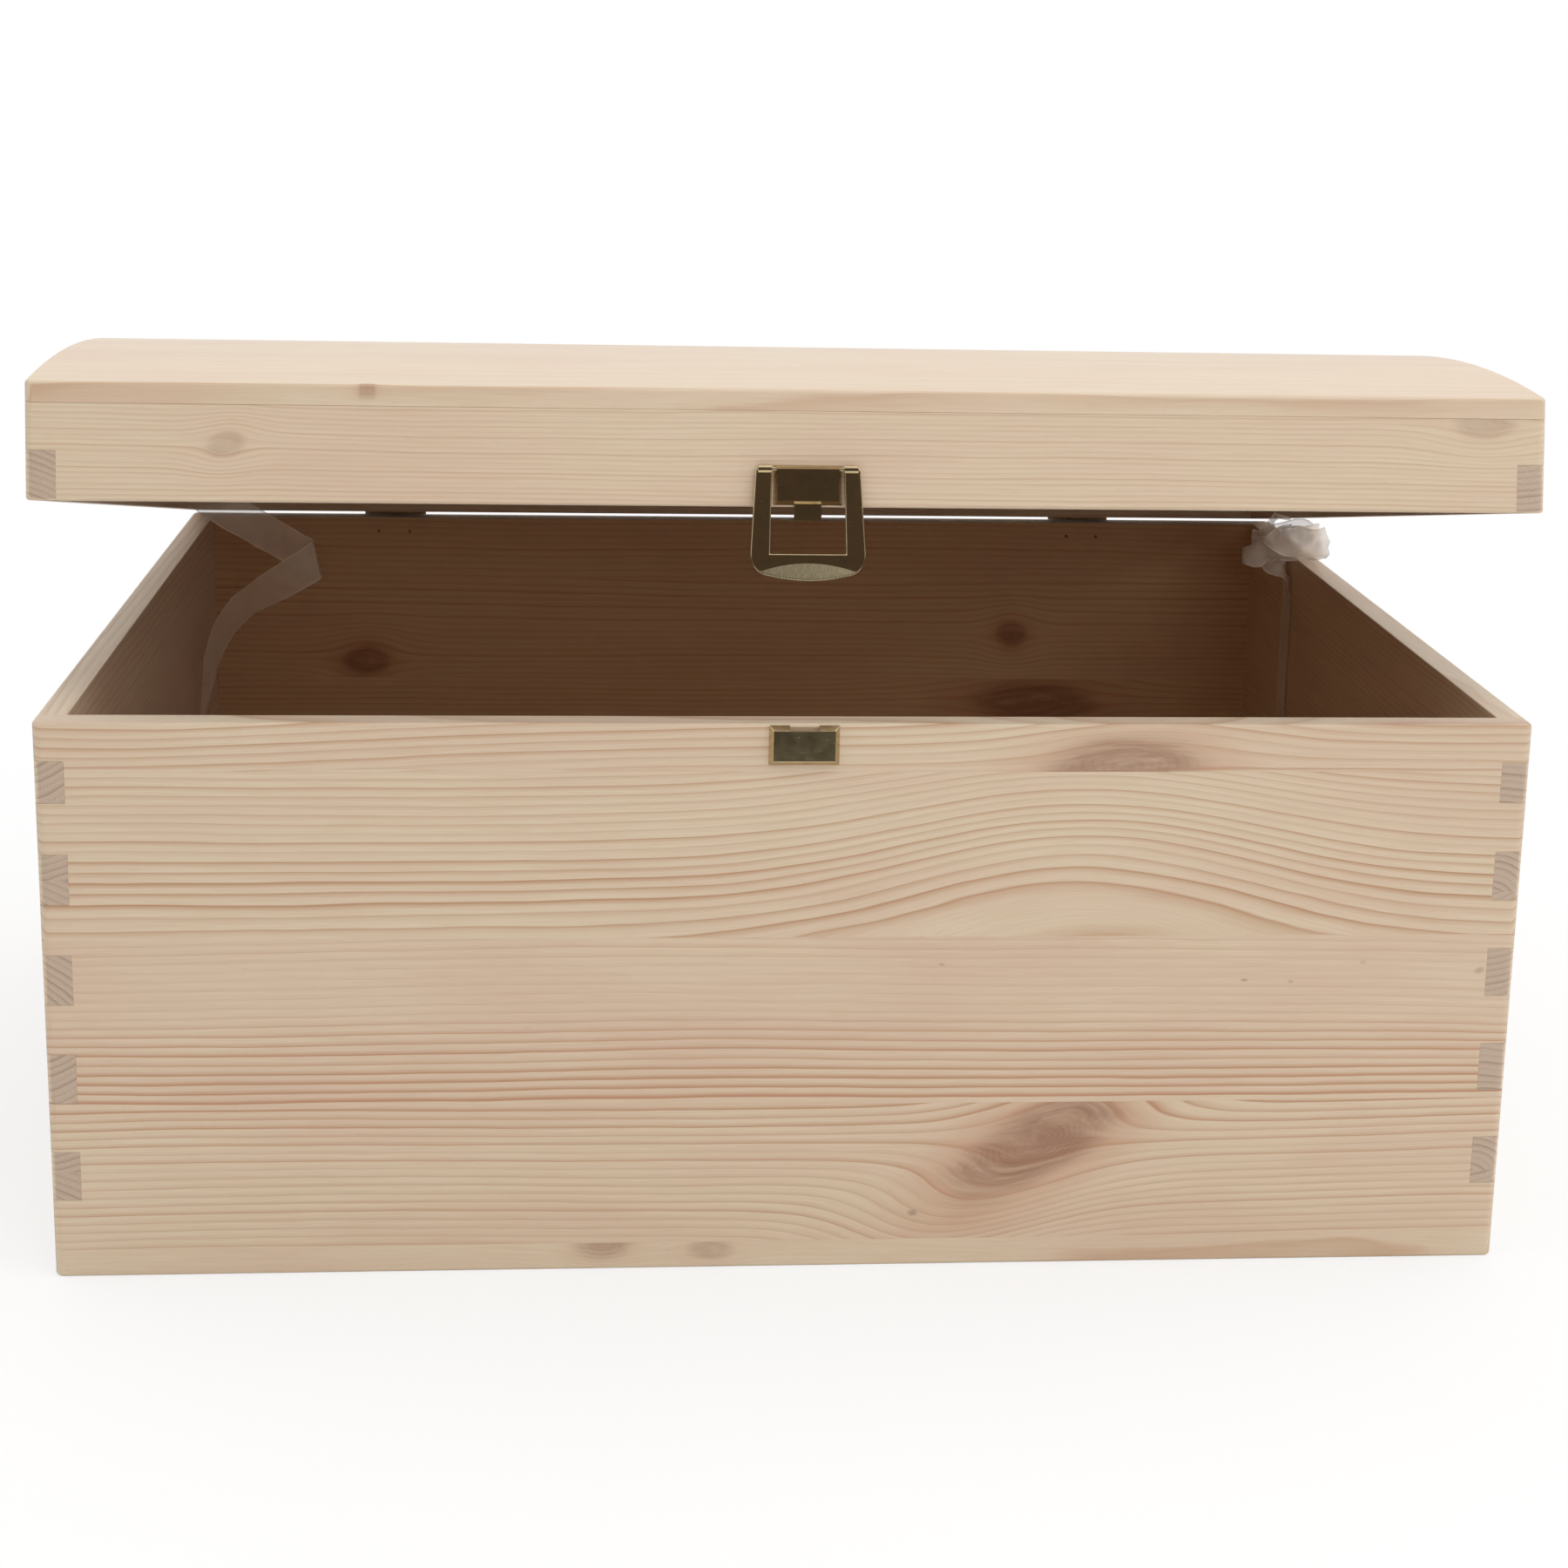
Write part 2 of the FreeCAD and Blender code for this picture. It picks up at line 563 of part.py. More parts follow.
def ribbon_band(body, side, name, foot, head):
    """A flat stretch of ribbon against the inner face of the side panel and the lid's end."""
    band = new_sketch(body, "YZ", name, f"{side} * (({BAND_X}) - ribbon_solid / 2)")
    rectangle(band, "ribbon_y - ribbon_width / 2", foot, "ribbon_y + ribbon_width / 2", head)
    pad(body, band, "ribbon_solid")


def tack_holes(body):
    holes = new_sketch(body, "YZ", "TackHoles")
    for height in (BOX_TACK, LID_TACK):
        circle(holes, "ribbon_y", height, "tack_radius + pilot_clearance")
    pocket(body, holes)


ribbon_left = new_body("ribbon_left")
ribbon_band(ribbon_left, -1, "BoxEnd", f"{BOX_TACK} - ribbon_end", f"{BOX_TACK} + 2 * ribbon_end")
ribbon_band(ribbon_left, -1, "LidEnd", f"{LID_TACK} - 2 * ribbon_end", f"{LID_TACK} + ribbon_end")
fold = new_sketch(ribbon_left, "XZ", "Fold", "-ribbon_y")
FOLD = [(0, 18.5), (0, 15.5), (12.4, 4.4), (24, -1), (31, -7), (20, -20), (11, -29), (5, -40), (0, -53),
        (0, -60), (4.5, -60), (5, -55), (10, -46), (16, -33), (27, -20), (37, -14), (44.5, -2.3), (41, 1.5),
        (26, 9), (17, 15.8), (14.5, 18.5)]
outline(fold, [(f"{along} - ({BAND_X})", f"box_height + {up}") for along, up in FOLD])
pad(ribbon_left, fold, "ribbon_solid")
tack_holes(ribbon_left)

ribbon_right = new_body("ribbon_right")
ribbon_band(ribbon_right, 1, "Band", f"{BOX_TACK} - ribbon_end", f"{LID_TACK} + ribbon_end")
bunch = new_sketch(ribbon_right, "XZ", "Bunch", "-bunch_y")
over = "box_height + ribbon_clear"
under_lid = "pin_z + (pin_y - bunch_y - bunch_width / 2) * tan(lid_angle) - ribbon_clear"
outline(bunch, [(f"{INNER_X} - 21.5", f"{over} + 5"), (f"{INNER_X} - 18", over),
                (f"{INNER_X} - 9", f"{over} - 3"), (BAND_X, f"{over} - 3"), (BAND_X, over),
                ("box_width / 2 + 1.5", over),
                ("box_width / 2 + 3", f"{over} + 5"), ("box_width / 2 + 1", under_lid),
                (f"{INNER_X} - 19", under_lid)])
pad(ribbon_right, bunch, "bunch_width")
tack_holes(ribbon_right)


def ribbon_tack(label, side, on_lid):
    """A short flat-headed tack through one end of a ribbon into the wood."""
    body = new_body(label)
    shank = new_sketch(body, "YZ", "Shank", f"{side} * (({BAND_X}) - ribbon_solid + tack_length / 2)")
    circle(shank, "0", "0", "tack_radius")
    pad(body, shank, "tack_length")
    head = new_sketch(body, "YZ", "Head", f"{side} * (({BAND_X}) - ribbon_solid - tack_head / 2)")
    circle(head, "0", "0", "tack_head_radius")
    pad(body, head, "tack_head")
    if on_lid:
        place_on_lid(body, "0", "tack_back", "tack_up")
    else:
        place(body, "0", "ribbon_y", BOX_TACK)


for hand, side in (("left", -1), ("right", 1)):
    ribbon_tack(f"ribbon_{hand}_box_tack", side, False)
    ribbon_tack(f"ribbon_{hand}_lid_tack", side, True)


# ---- Check every object, then write one file for each piece ----

doc.recompute()
for item in doc.Objects:
    if "Invalid" in item.State or "Error" in item.State:
        raise RuntimeError(f"{item.Label} failed to build: {item.State}")
pieces = [item for item in doc.Objects if item.TypeId == "PartDesign::Body"]
for piece in pieces:
    if piece.Shape.isNull() or not piece.Shape.isValid():
        raise RuntimeError(f"{piece.Label} has no valid shape")

os.makedirs("parts", exist_ok=True)
for piece in pieces:
    piece.Shape.exportStep(f"parts/{piece.Label}.step")
    print(f"{piece.Label}: {len(piece.Shape.Solids)} solid(s), {piece.Shape.Volume:.1f} mm3")
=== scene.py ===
import math
import bmesh
import bpy
from mathutils import Euler, Matrix, Vector, noise


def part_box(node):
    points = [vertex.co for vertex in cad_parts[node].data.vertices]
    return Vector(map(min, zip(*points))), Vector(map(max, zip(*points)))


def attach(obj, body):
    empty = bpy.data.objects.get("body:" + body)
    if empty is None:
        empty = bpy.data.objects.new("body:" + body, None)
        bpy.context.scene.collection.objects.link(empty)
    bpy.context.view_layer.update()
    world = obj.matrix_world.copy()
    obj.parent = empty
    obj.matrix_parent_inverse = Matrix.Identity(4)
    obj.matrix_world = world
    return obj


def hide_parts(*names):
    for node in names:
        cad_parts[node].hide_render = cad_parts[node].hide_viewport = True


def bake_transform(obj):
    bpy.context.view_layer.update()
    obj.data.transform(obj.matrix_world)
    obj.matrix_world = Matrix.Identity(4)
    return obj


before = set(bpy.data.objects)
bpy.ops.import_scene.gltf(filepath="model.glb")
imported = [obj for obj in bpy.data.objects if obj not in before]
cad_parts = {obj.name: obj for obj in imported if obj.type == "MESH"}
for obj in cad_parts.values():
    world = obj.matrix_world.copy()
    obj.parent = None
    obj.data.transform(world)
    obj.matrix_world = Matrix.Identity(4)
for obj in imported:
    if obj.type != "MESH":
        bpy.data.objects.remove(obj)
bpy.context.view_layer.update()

MM = 0.001


# Camera: it looks at the front of the toy box from a little to the left, just above the lid's front edge.
def add_object(name, data):
    made = bpy.data.objects.new(name, data)
    bpy.context.scene.collection.objects.link(made)
    return made


camera = add_object("camera", bpy.data.cameras.new("camera"))
camera.location = (-0.05539, -0.90605, 0.34062)
camera.rotation_euler = [math.radians(angle) for angle in (76.3006, -1.3447, -4.9755)]
camera.data.sensor_width = 36
camera.data.lens = 66.651
camera.data.shift_x = -0.04341
camera.data.shift_y = -0.04439
camera.data.clip_start = 0.01
bpy.context.scene.camera = camera


# Floor and light: a plain pale floor in a white studio, under five soft lights, the strongest from the
# upper right. The studio is darker and browner on the camera's side, which the polished brass mirrors.
def add_node(tree, kind, inputs=None, output=0, **settings):
    """Add a shader node. inputs gives each socket a value or another node's output."""
    made = tree.nodes.new(kind)
    for name, value in settings.items():
        setattr(made, name, value)
    for socket, value in (inputs or {}).items():
        if isinstance(value, bpy.types.NodeSocket):
            tree.links.new(value, made.inputs[socket])
        else:
            made.inputs[socket].default_value = value
    return made.outputs[output]


def maths(tree, operation, *values):
    return add_node(tree, "ShaderNodeMath", dict(enumerate(values)), operation=operation)


def vector_maths(tree, operation, first, second):
    return add_node(tree, "ShaderNodeVectorMath", {0: first, 1: second}, operation=operation)


def blend_colour(tree, share, first, second, how="MIX"):
    return add_node(tree, "ShaderNodeMix", {0: share, 6: first, 7: second}, output=2,
                    data_type="RGBA", blend_type=how)


def ramp(tree, value, stops, interpolation="LINEAR"):
    """A colour ramp through stops of (position, colour)."""
    made = tree.nodes.new("ShaderNodeValToRGB")
    made.color_ramp.interpolation = interpolation
    while len(made.color_ramp.elements) < len(stops):
        made.color_ramp.elements.new(1)
    for element, (position, colour) in zip(made.color_ramp.elements, stops):
        element.position = position
        element.color = colour
    tree.links.new(value, made.inputs[0])
    return made.outputs[0]


def smooth_step(tree, value, low, high, start=0.0, end=1.0):
    return add_node(tree, "ShaderNodeMapRange", {0: value, 1: low, 2: high, 3: start, 4: end},
                    interpolation_type="SMOOTHSTEP")


def srgb(red, green, blue):
    """A colour given as it looks, from 0 to 255, as the linear colour a shader needs."""
    def linear(level):
        share = level / 255
        return share / 12.92 if share <= 0.04045 else ((share + 0.055) / 1.055) ** 2.4
    return linear(red), linear(green), linear(blue), 1.0


def new_material(name):
    material = bpy.data.materials.new(name)
    material.use_nodes = True
    return material, material.node_tree, material.node_tree.nodes["Principled BSDF"]


floor_mesh = bpy.data.meshes.new("floor")
bm = bmesh.new()
bmesh.ops.create_grid(bm, x_segments=1, y_segments=1, size=6)
bm.to_mesh(floor_mesh)
bm.free()
floor = add_object("floor", floor_mesh)
floor_paint, tree, shader = new_material("floor_paint")
spot = add_node(tree, "ShaderNodeTexCoord", output=3)
cloud = add_node(tree, "ShaderNodeTexNoise", {0: spot, "Scale": 3, "Detail": 3})
tree.links.new(ramp(tree, cloud, [(0.3, srgb(240, 240, 239)), (0.7, srgb(244, 244, 243))]),
               shader.inputs["Base Color"])
shader.inputs["Roughness"].default_value = 0.9
shader.inputs["Specular IOR Level"].default_value = 0.1
rays = add_node(tree, "ShaderNodeLightPath").node.outputs
distance = add_node(tree, "ShaderNodeVectorMath", {0: spot}, output=1, operation="LENGTH")
glow = add_node(tree, "ShaderNodeEmission", {"Color": (1, 1, 1, 1), "Strength": 1.0})
shade = add_node(tree, "ShaderNodeEmission", {"Color": (1, 0.93, 0.8, 1), "Strength": 0.07})
near_glow = maths(tree, "MULTIPLY", smooth_step(tree, distance, 0.2, 0.6, 0.62, 1.0),
                  rays["Is Camera Ray"])
lit = add_node(tree, "ShaderNodeMixShader", {0: near_glow, 1: shader.outputs[0], 2: glow})
far_dark = maths(tree, "MULTIPLY", smooth_step(tree, distance, 0.45, 0.65), rays["Is Glossy Ray"])
cove = add_node(tree, "ShaderNodeMixShader", {0: far_dark, 1: lit, 2: shade})
tree.links.new(cove, tree.nodes["Material Output"].inputs["Surface"])
floor_mesh.materials.append(floor_paint)

studio = bpy.data.worlds.new("studio")
studio.use_nodes = True
bpy.context.scene.world = studio
tree = studio.node_tree
direction = add_node(tree, "ShaderNodeTexCoord")
heading = add_node(tree, "ShaderNodeSeparateXYZ", {0: direction}).node.outputs
behind = smooth_step(tree, heading["Y"], -0.8, 0.2, 0.0, 0.8)
above = smooth_step(tree, heading["Z"], 0.25, 0.9, 0.0, 0.3)
level = maths(tree, "ADD", maths(tree, "ADD", behind, above), 0.12)
seen = add_node(tree, "ShaderNodeLightPath", output=0)
tree.links.new(maths(tree, "ADD", seen, maths(tree, "MULTIPLY", maths(tree, "SUBTRACT", 1.0, seen), level)),
               tree.nodes["Background"].inputs["Strength"])
white = (1, 1, 1, 1)
room = blend_colour(tree, smooth_step(tree, heading["Y"], -0.9, -0.4), (0.62, 0.45, 0.34, 1), white)
tree.links.new(blend_colour(tree, seen, room, white), tree.nodes["Background"].inputs["Color"])
bpy.context.scene.view_settings.view_transform = "Standard"


def softbox(name, place, aim, size, power, mirrored=True):
    """A square studio light at a place, turned to aim at a point. The polished pieces may mirror it."""
    data = bpy.data.lights.new(name, "AREA")
    data.size = size
    data.energy = power
    light = add_object(name, data)
    light.location = place
    light.rotation_euler = (Vector(aim) - Vector(place)).to_track_quat("-Z", "Y").to_euler()
    light.visible_glossy = mirrored


softbox("key", (1.5, -1.0, 1.4), (0, 0, 0.1), 1.2, 9.3)
softbox("fill", (-1.6, -0.9, 1.1), (0, 0, 0.1), 1.4, 2.6)
softbox("top", (0.2, 0.5, 2.0), (0, 0, 0.2), 1.6, 2.8)
softbox("front", (0.4, -1.8, 0.8), (0, 0, 0.15), 1.0, 5.6, mirrored=False)
softbox("rim", (0.1, -1.0, 1.8), (0, -0.1, 0.1), 0.8, 5.0, mirrored=False)


# Box panels: four untreated pine boards, each glued up from narrow staves, with fingers cut in their ends.
# They are glued at the corners and sanded flush, so only hairlines and the end grain show the joint.
PANEL_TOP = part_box("front_panel")[1].z
PANEL_HALF_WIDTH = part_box("front_panel")[1].x
PANEL_HALF_DEPTH = -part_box("front_panel")[0].y
SAW_LINE = 0.12 * MM
OUTER_ARRIS = 0.9 * MM
INNER_ARRIS = 0.35 * MM
NEAR_OUTSIDE = 3 * MM
ON_EDGE = 0.1 * MM
INSIDE_FROM = 7.9 * MM
INSIDE_FADE = 0.3 * MM

PALE_WOOD = srgb(217, 200, 172)
PINK_WOOD = srgb(213, 187, 163)
LATE_WOOD = srgb(186, 145, 108)
RED_WOOD = srgb(186, 132, 100)
KNOT_WOOD = srgb(143, 99, 71)
KNOT_DARK = srgb(104, 66, 46)
END_WOOD = srgb(194, 173, 152)


def stretched_noise(tree, spot, scale, detail, output=0, **inputs):
    """Noise on coordinates that are scaled by a different amount along each axis."""
    scaled = add_node(tree, "ShaderNodeMapping", {0: spot, 3: scale})
    return add_node(tree, "ShaderNodeTexNoise", {0: scaled, "Scale": 1, "Detail": detail, **inputs},
                    output=output)


def pine(name, origin, turned, staves, knots=(), swells=(), pins=(), bands=(), ring=2.0, seed=0.0,
         line=1.0):
    """Solid pine. origin and turned set the board: x runs along the grain, y across the staves and z out
    of the show face, in millimetres. staves lists (upper edge, pith height, pith depth, redness) from the
    low side. Knots and pins are (x, y, length, height, tilt, darkness), swells that lift the grain are
    (x, y, length, height, lift), and bands that strengthen it are (middle, spread, gain) across the
    staves. ring is the width of a year's growth, line the strength of its late wood, and seed picks the
    board's own waver."""
    material, tree, shader = new_material(name)
    place = add_node(tree, "ShaderNodeTexCoord", output=3)
    board = add_node(tree, "ShaderNodeMapping", {0: place, 1: origin, 2: turned, 3: (MM, MM, MM)},
                     vector_type="TEXTURE")
    start = add_node(tree, "ShaderNodeSeparateXYZ", {0: board}).node.outputs
    reach = max(stave[0] for stave in staves)
    stops = [(0.0, staves[0])] + [(low[0] / reach, high) for low, high in zip(staves, staves[1:])]
    stave_colours = [(position, ((stave[1] + 100) / 400, stave[2] / 60, stave[3], 1))
                     for position, stave in stops]
    stave = ramp(tree, maths(tree, "DIVIDE", start["Y"], reach), stave_colours, "CONSTANT")
    stave_parts = add_node(tree, "ShaderNodeSeparateColor", {0: stave}).node.outputs
    pith_height = maths(tree, "MULTIPLY_ADD", stave_parts[0], 400, -100)
    pith_depth = maths(tree, "MULTIPLY", stave_parts[1], 60)
    redness = stave_parts[2]

    shift = add_node(tree, "ShaderNodeCombineXYZ", {0: maths(tree, "MULTIPLY", pith_height, 17.0), 1: seed,
                                                    2: maths(tree, "MULTIPLY", pith_depth, 31.0)})
    own = vector_maths(tree, "ADD", board, shift)
    drift = stretched_noise(tree, own, (0.0035, 0.012, 0.012), 1, output=1)
    ripple = stretched_noise(tree, own, (0.02, 0.09, 0.09), 2, output=1)
    drifted = vector_maths(tree, "ADD", drift, (-0.5, -0.5, -0.5))
    rippled = vector_maths(tree, "ADD", ripple, (-0.5, -0.5, -0.5))
    bend = vector_maths(tree, "MULTIPLY", drifted, (0, 8, 9))
    shake = vector_maths(tree, "MULTIPLY", rippled, (0, 1.3, 1.3))
    grain = vector_maths(tree, "ADD", vector_maths(tree, "ADD", board, bend), shake)

    def in_stave(height):
        """1 inside the stave that holds this height, 0 elsewhere."""
        low = max([0.0] + [stave[0] for stave in staves if stave[0] <= height])
        high = min(stave[0] for stave in staves if stave[0] > height)
        return maths(tree, "COMPARE", start["Y"], (low + high) / 2, (high - low) / 2)

    def oval(x, y, length, height, tilt):
        """Distance from a centre through the board, where 1 is the rim of an oval of this size."""
        within = add_node(tree, "ShaderNodeMapping", {0: board, 1: (x, y, 0), 2: (0, 0, math.radians(tilt)),
                                                      3: (length, height, 400)}, vector_type="TEXTURE")
        return add_node(tree, "ShaderNodeVectorMath", {0: within}, output=1, operation="LENGTH")

    def bell(distance, narrow, height):
        """1 at the centre of an oval, fading outwards, within the stave that holds this height."""
        spread = maths(tree, "EXPONENT", maths(tree, "MULTIPLY", maths(tree, "POWER", distance, 2),
                                               -narrow))
        return maths(tree, "MULTIPLY", spread, in_stave(height))

    for x, y, length, height, lift in swells:
        distance = oval(x, y, length, height, 0)
        rise = add_node(tree, "ShaderNodeVectorMath", {0: (0, -lift, 0), "Scale": bell(distance, 1.0, y)},
                        operation="SCALE")
        grain = vector_maths(tree, "ADD", grain, rise)

    knot_layers = []
    for x, y, length, height, tilt, darkness in knots:
        distance = oval(x, y, length / 2, height / 2, tilt)
        parted = vector_maths(tree, "SUBTRACT", board, (x, y, 0))
        parted = vector_maths(tree, "MULTIPLY", parted, (0, -0.96, 0))
        parted = add_node(tree, "ShaderNodeVectorMath", {0: parted, "Scale": bell(distance, 0.28, y)},
                          operation="SCALE")
        grain = vector_maths(tree, "ADD", grain, parted)
        uneven = maths(tree, "MULTIPLY_ADD", add_node(tree, "ShaderNodeSeparateXYZ", {0: rippled}), 0.9,
                       distance)
        knot_layers.append((uneven, in_stave(y), darkness, length))

    ring_parts = add_node(tree, "ShaderNodeSeparateXYZ", {0: grain}).node.outputs
    across = maths(tree, "SUBTRACT", ring_parts["Y"], pith_height)
    inward = maths(tree, "ADD", ring_parts["Z"], pith_depth)
    radius = maths(tree, "SQRT", maths(tree, "ADD", maths(tree, "POWER", across, 2),
                                       maths(tree, "POWER", inward, 2)))
    years = maths(tree, "DIVIDE", radius, ring)
    season = maths(tree, "FRACT", years)
    year = add_node(tree, "ShaderNodeTexWhiteNoise", {1: maths(tree, "FLOOR", years)},
                    noise_dimensions="1D")
    late = ramp(tree, season, [(share, (dark, dark, dark, 1)) for share, dark in (
        (0.0, 0.12), (0.08, 0), (0.45, 0.05), (0.80, 0.55), (0.93, 1), (1.0, 0.2))])
    strength = maths(tree, "MULTIPLY_ADD", year, 0.75, 0.35)
    for middle, spread, gain in bands:
        away = maths(tree, "DIVIDE", maths(tree, "SUBTRACT", start["Y"], middle), spread)
        band = maths(tree, "EXPONENT", maths(tree, "MULTIPLY", maths(tree, "POWER", away, 2), -1))
        strength = maths(tree, "MULTIPLY", strength, maths(tree, "MULTIPLY_ADD", band, gain, 1))
    late = maths(tree, "MULTIPLY", late, maths(tree, "MULTIPLY", strength, line))

    fibre = stretched_noise(tree, grain, (0.045, 1.9, 1.9), 4, Roughness=0.6)
    dash = smooth_step(tree, stretched_noise(tree, grain, (0.22, 3.2, 3.2), 1), 0.71, 0.80)
    patches = stretched_noise(tree, own, (0.012, 0.05, 0.05), 2)

    warm = maths(tree, "ADD", maths(tree, "MULTIPLY", smooth_step(tree, patches, 0.35, 0.7), 0.55),
                 maths(tree, "MULTIPLY", redness, 0.6))
    base = blend_colour(tree, warm, PALE_WOOD, PINK_WOOD)
    line_colour = blend_colour(tree, maths(tree, "MULTIPLY", redness, year), LATE_WOOD, RED_WOOD)
    colour = blend_colour(tree, maths(tree, "MULTIPLY", late, 0.85), base, line_colour)
    colour = blend_colour(tree, smooth_step(tree, fibre, 0.35, 0.7, 0.0, 0.16), colour, LATE_WOOD)
    colour = blend_colour(tree, maths(tree, "MULTIPLY", dash, 0.25), colour, RED_WOOD)

    for distance, gate, darkness, length in knot_layers:
        halo = maths(tree, "MULTIPLY", smooth_step(tree, distance, 2.3, 0.9, 0.0, 0.5 * darkness), gate)
        colour = blend_colour(tree, halo, colour, RED_WOOD)
        heart = maths(tree, "MULTIPLY", smooth_step(tree, distance, 1.35, 0.6), gate)
        heart = maths(tree, "MULTIPLY", heart, smooth_step(tree, fibre, 0.3, 0.6, 0.5, 1.0))
        wood_rings = maths(tree, "SINE", maths(tree, "MULTIPLY", distance, 1.0 * length + 6))
        inner = blend_colour(tree, smooth_step(tree, wood_rings, -0.4, 1.0, 0.0, 0.38), KNOT_WOOD,
                             KNOT_DARK)
        colour = blend_colour(tree, maths(tree, "MULTIPLY", heart, 0.30 + 0.55 * darkness), colour, inner)
    for x, y, length, height, tilt, darkness in pins:
        distance = oval(x, y, length / 2, height / 2, tilt)
        colour = blend_colour(tree, smooth_step(tree, distance, 1.3, 0.4, 0.0, darkness), colour,
                              KNOT_DARK)

    facing = add_node(tree, "ShaderNodeTexCoord", output=1)
    turned_normal = add_node(tree, "ShaderNodeMapping", {0: facing, 2: turned, 3: (1, 1, 1)},
                             vector_type="TEXTURE")
    along = maths(tree, "ABSOLUTE", add_node(tree, "ShaderNodeSeparateXYZ", {0: turned_normal}))
    end_grain = smooth_step(tree, along, 0.72, 0.95)
    pores = stretched_noise(tree, board, (2.5, 2.5, 2.5), 3)
    end_colour = blend_colour(tree, maths(tree, "MULTIPLY", late, 0.62), END_WOOD, srgb(126, 96, 76))
    end_colour = blend_colour(tree, smooth_step(tree, pores, 0.4, 0.7, 0.0, 0.3), end_colour,
                              srgb(150, 120, 102))
    colour = blend_colour(tree, end_grain, colour, end_colour)
    # Painted shade: the faces inside the box, below the rim, are tinted darker and redder to stand in for the
    # light that bounces between its walls.
    sides = add_node(tree, "ShaderNodeSeparateXYZ", {0: place}).node.outputs
    depths = [maths(tree, "SUBTRACT", maths(tree, "ABSOLUTE", sides["X"]), PANEL_HALF_WIDTH - INSIDE_FROM),
              maths(tree, "SUBTRACT", maths(tree, "ABSOLUTE", sides["Y"]), PANEL_HALF_DEPTH - INSIDE_FROM),
              maths(tree, "SUBTRACT", sides["Z"], PANEL_TOP - INSIDE_FADE)]
    outwards = maths(tree, "MAXIMUM", maths(tree, "MAXIMUM", depths[0], depths[1]), depths[2])
    inside_painted_shade = smooth_step(tree, outwards, 0.0, INSIDE_FADE, 1.0, 0.0)
    colour = blend_colour(tree, inside_painted_shade, colour, srgb(255, 234, 210), "MULTIPLY")
    tree.links.new(colour, shader.inputs["Base Color"])

    rough = maths(tree, "ADD", smooth_step(tree, fibre, 0.3, 0.7, 0.56, 0.68),
                  maths(tree, "MULTIPLY", late, -0.08))
    tree.links.new(rough, shader.inputs["Roughness"])
    shader.inputs["Specular IOR Level"].default_value = 0.8
    shader.inputs["Sheen Weight"].default_value = 0.35
    shader.inputs["Sheen Roughness"].default_value = 0.4
    fine_height = maths(tree, "ADD", fibre, maths(tree, "MULTIPLY", dash, -0.5))
    height = maths(tree, "ADD", maths(tree, "MULTIPLY", late, 0.45),
                   maths(tree, "MULTIPLY", fine_height, 0.5))
    bump = add_node(tree, "ShaderNodeBump", {"Strength": 0.35, "Distance": 0.00009, "Height": height})
    tree.links.new(bump, shader.inputs["Normal"])
    return material


def eased_copy(node, name, easings):
    """A copy of a CAD piece with its sharp edges eased. Each easing is (width, segments, test), and an edge
    takes the first whose test its middle passes."""
    bm = bmesh.new()
    bm.from_mesh(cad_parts[node].data)
    bmesh.ops.remove_doubles(bm, verts=bm.verts, dist=2e-6)
    bmesh.ops.dissolve_limit(bm, angle_limit=math.radians(0.6), verts=bm.verts, edges=bm.edges)
    chosen = [[] for easing in easings]
    for edge in bm.edges:
        if len(edge.link_faces) != 2 or edge.calc_face_angle() < math.radians(35):
            continue
        middle = (edge.verts[0].co + edge.verts[1].co) / 2
        for kind, (width, segments, test) in enumerate(easings):
            if test(middle):
                chosen[kind].append(edge)
                break
    for edges, (width, segments, test) in zip(chosen, easings):
        alive = [edge for edge in edges if edge.is_valid]
        if alive:
            bmesh.ops.bevel(bm, geom=alive, offset=width, segments=segments, profile=0.5,
                            affect="EDGES", material=-1, clamp_overlap=True)
    mesh = bpy.data.meshes.new(name)
    bmesh.ops.recalc_face_normals(bm, faces=bm.faces)
    bm.to_mesh(mesh)
    bm.free()
    mesh.shade_smooth()
    mesh.set_sharp_from_angle(angle=math.radians(40))
    made = add_object(name, mesh)
    finish = made.modifiers.new("even_shading", "WEIGHTED_NORMAL")
    finish.keep_sharp = True
    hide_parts(node)
    return made


def is_outside(middle):
    return (abs(middle.x) > PANEL_HALF_WIDTH - NEAR_OUTSIDE
            or abs(middle.y) > PANEL_HALF_DEPTH - NEAR_OUTSIDE)


def is_inner_arris(middle):
    return middle.z > PANEL_TOP - ON_EDGE


def is_outer_arris(middle):
    """On the rim's outer edge or the foot's outer edge of the box."""
    return is_outside(middle) and (is_inner_arris(middle) or middle.z < ON_EDGE)


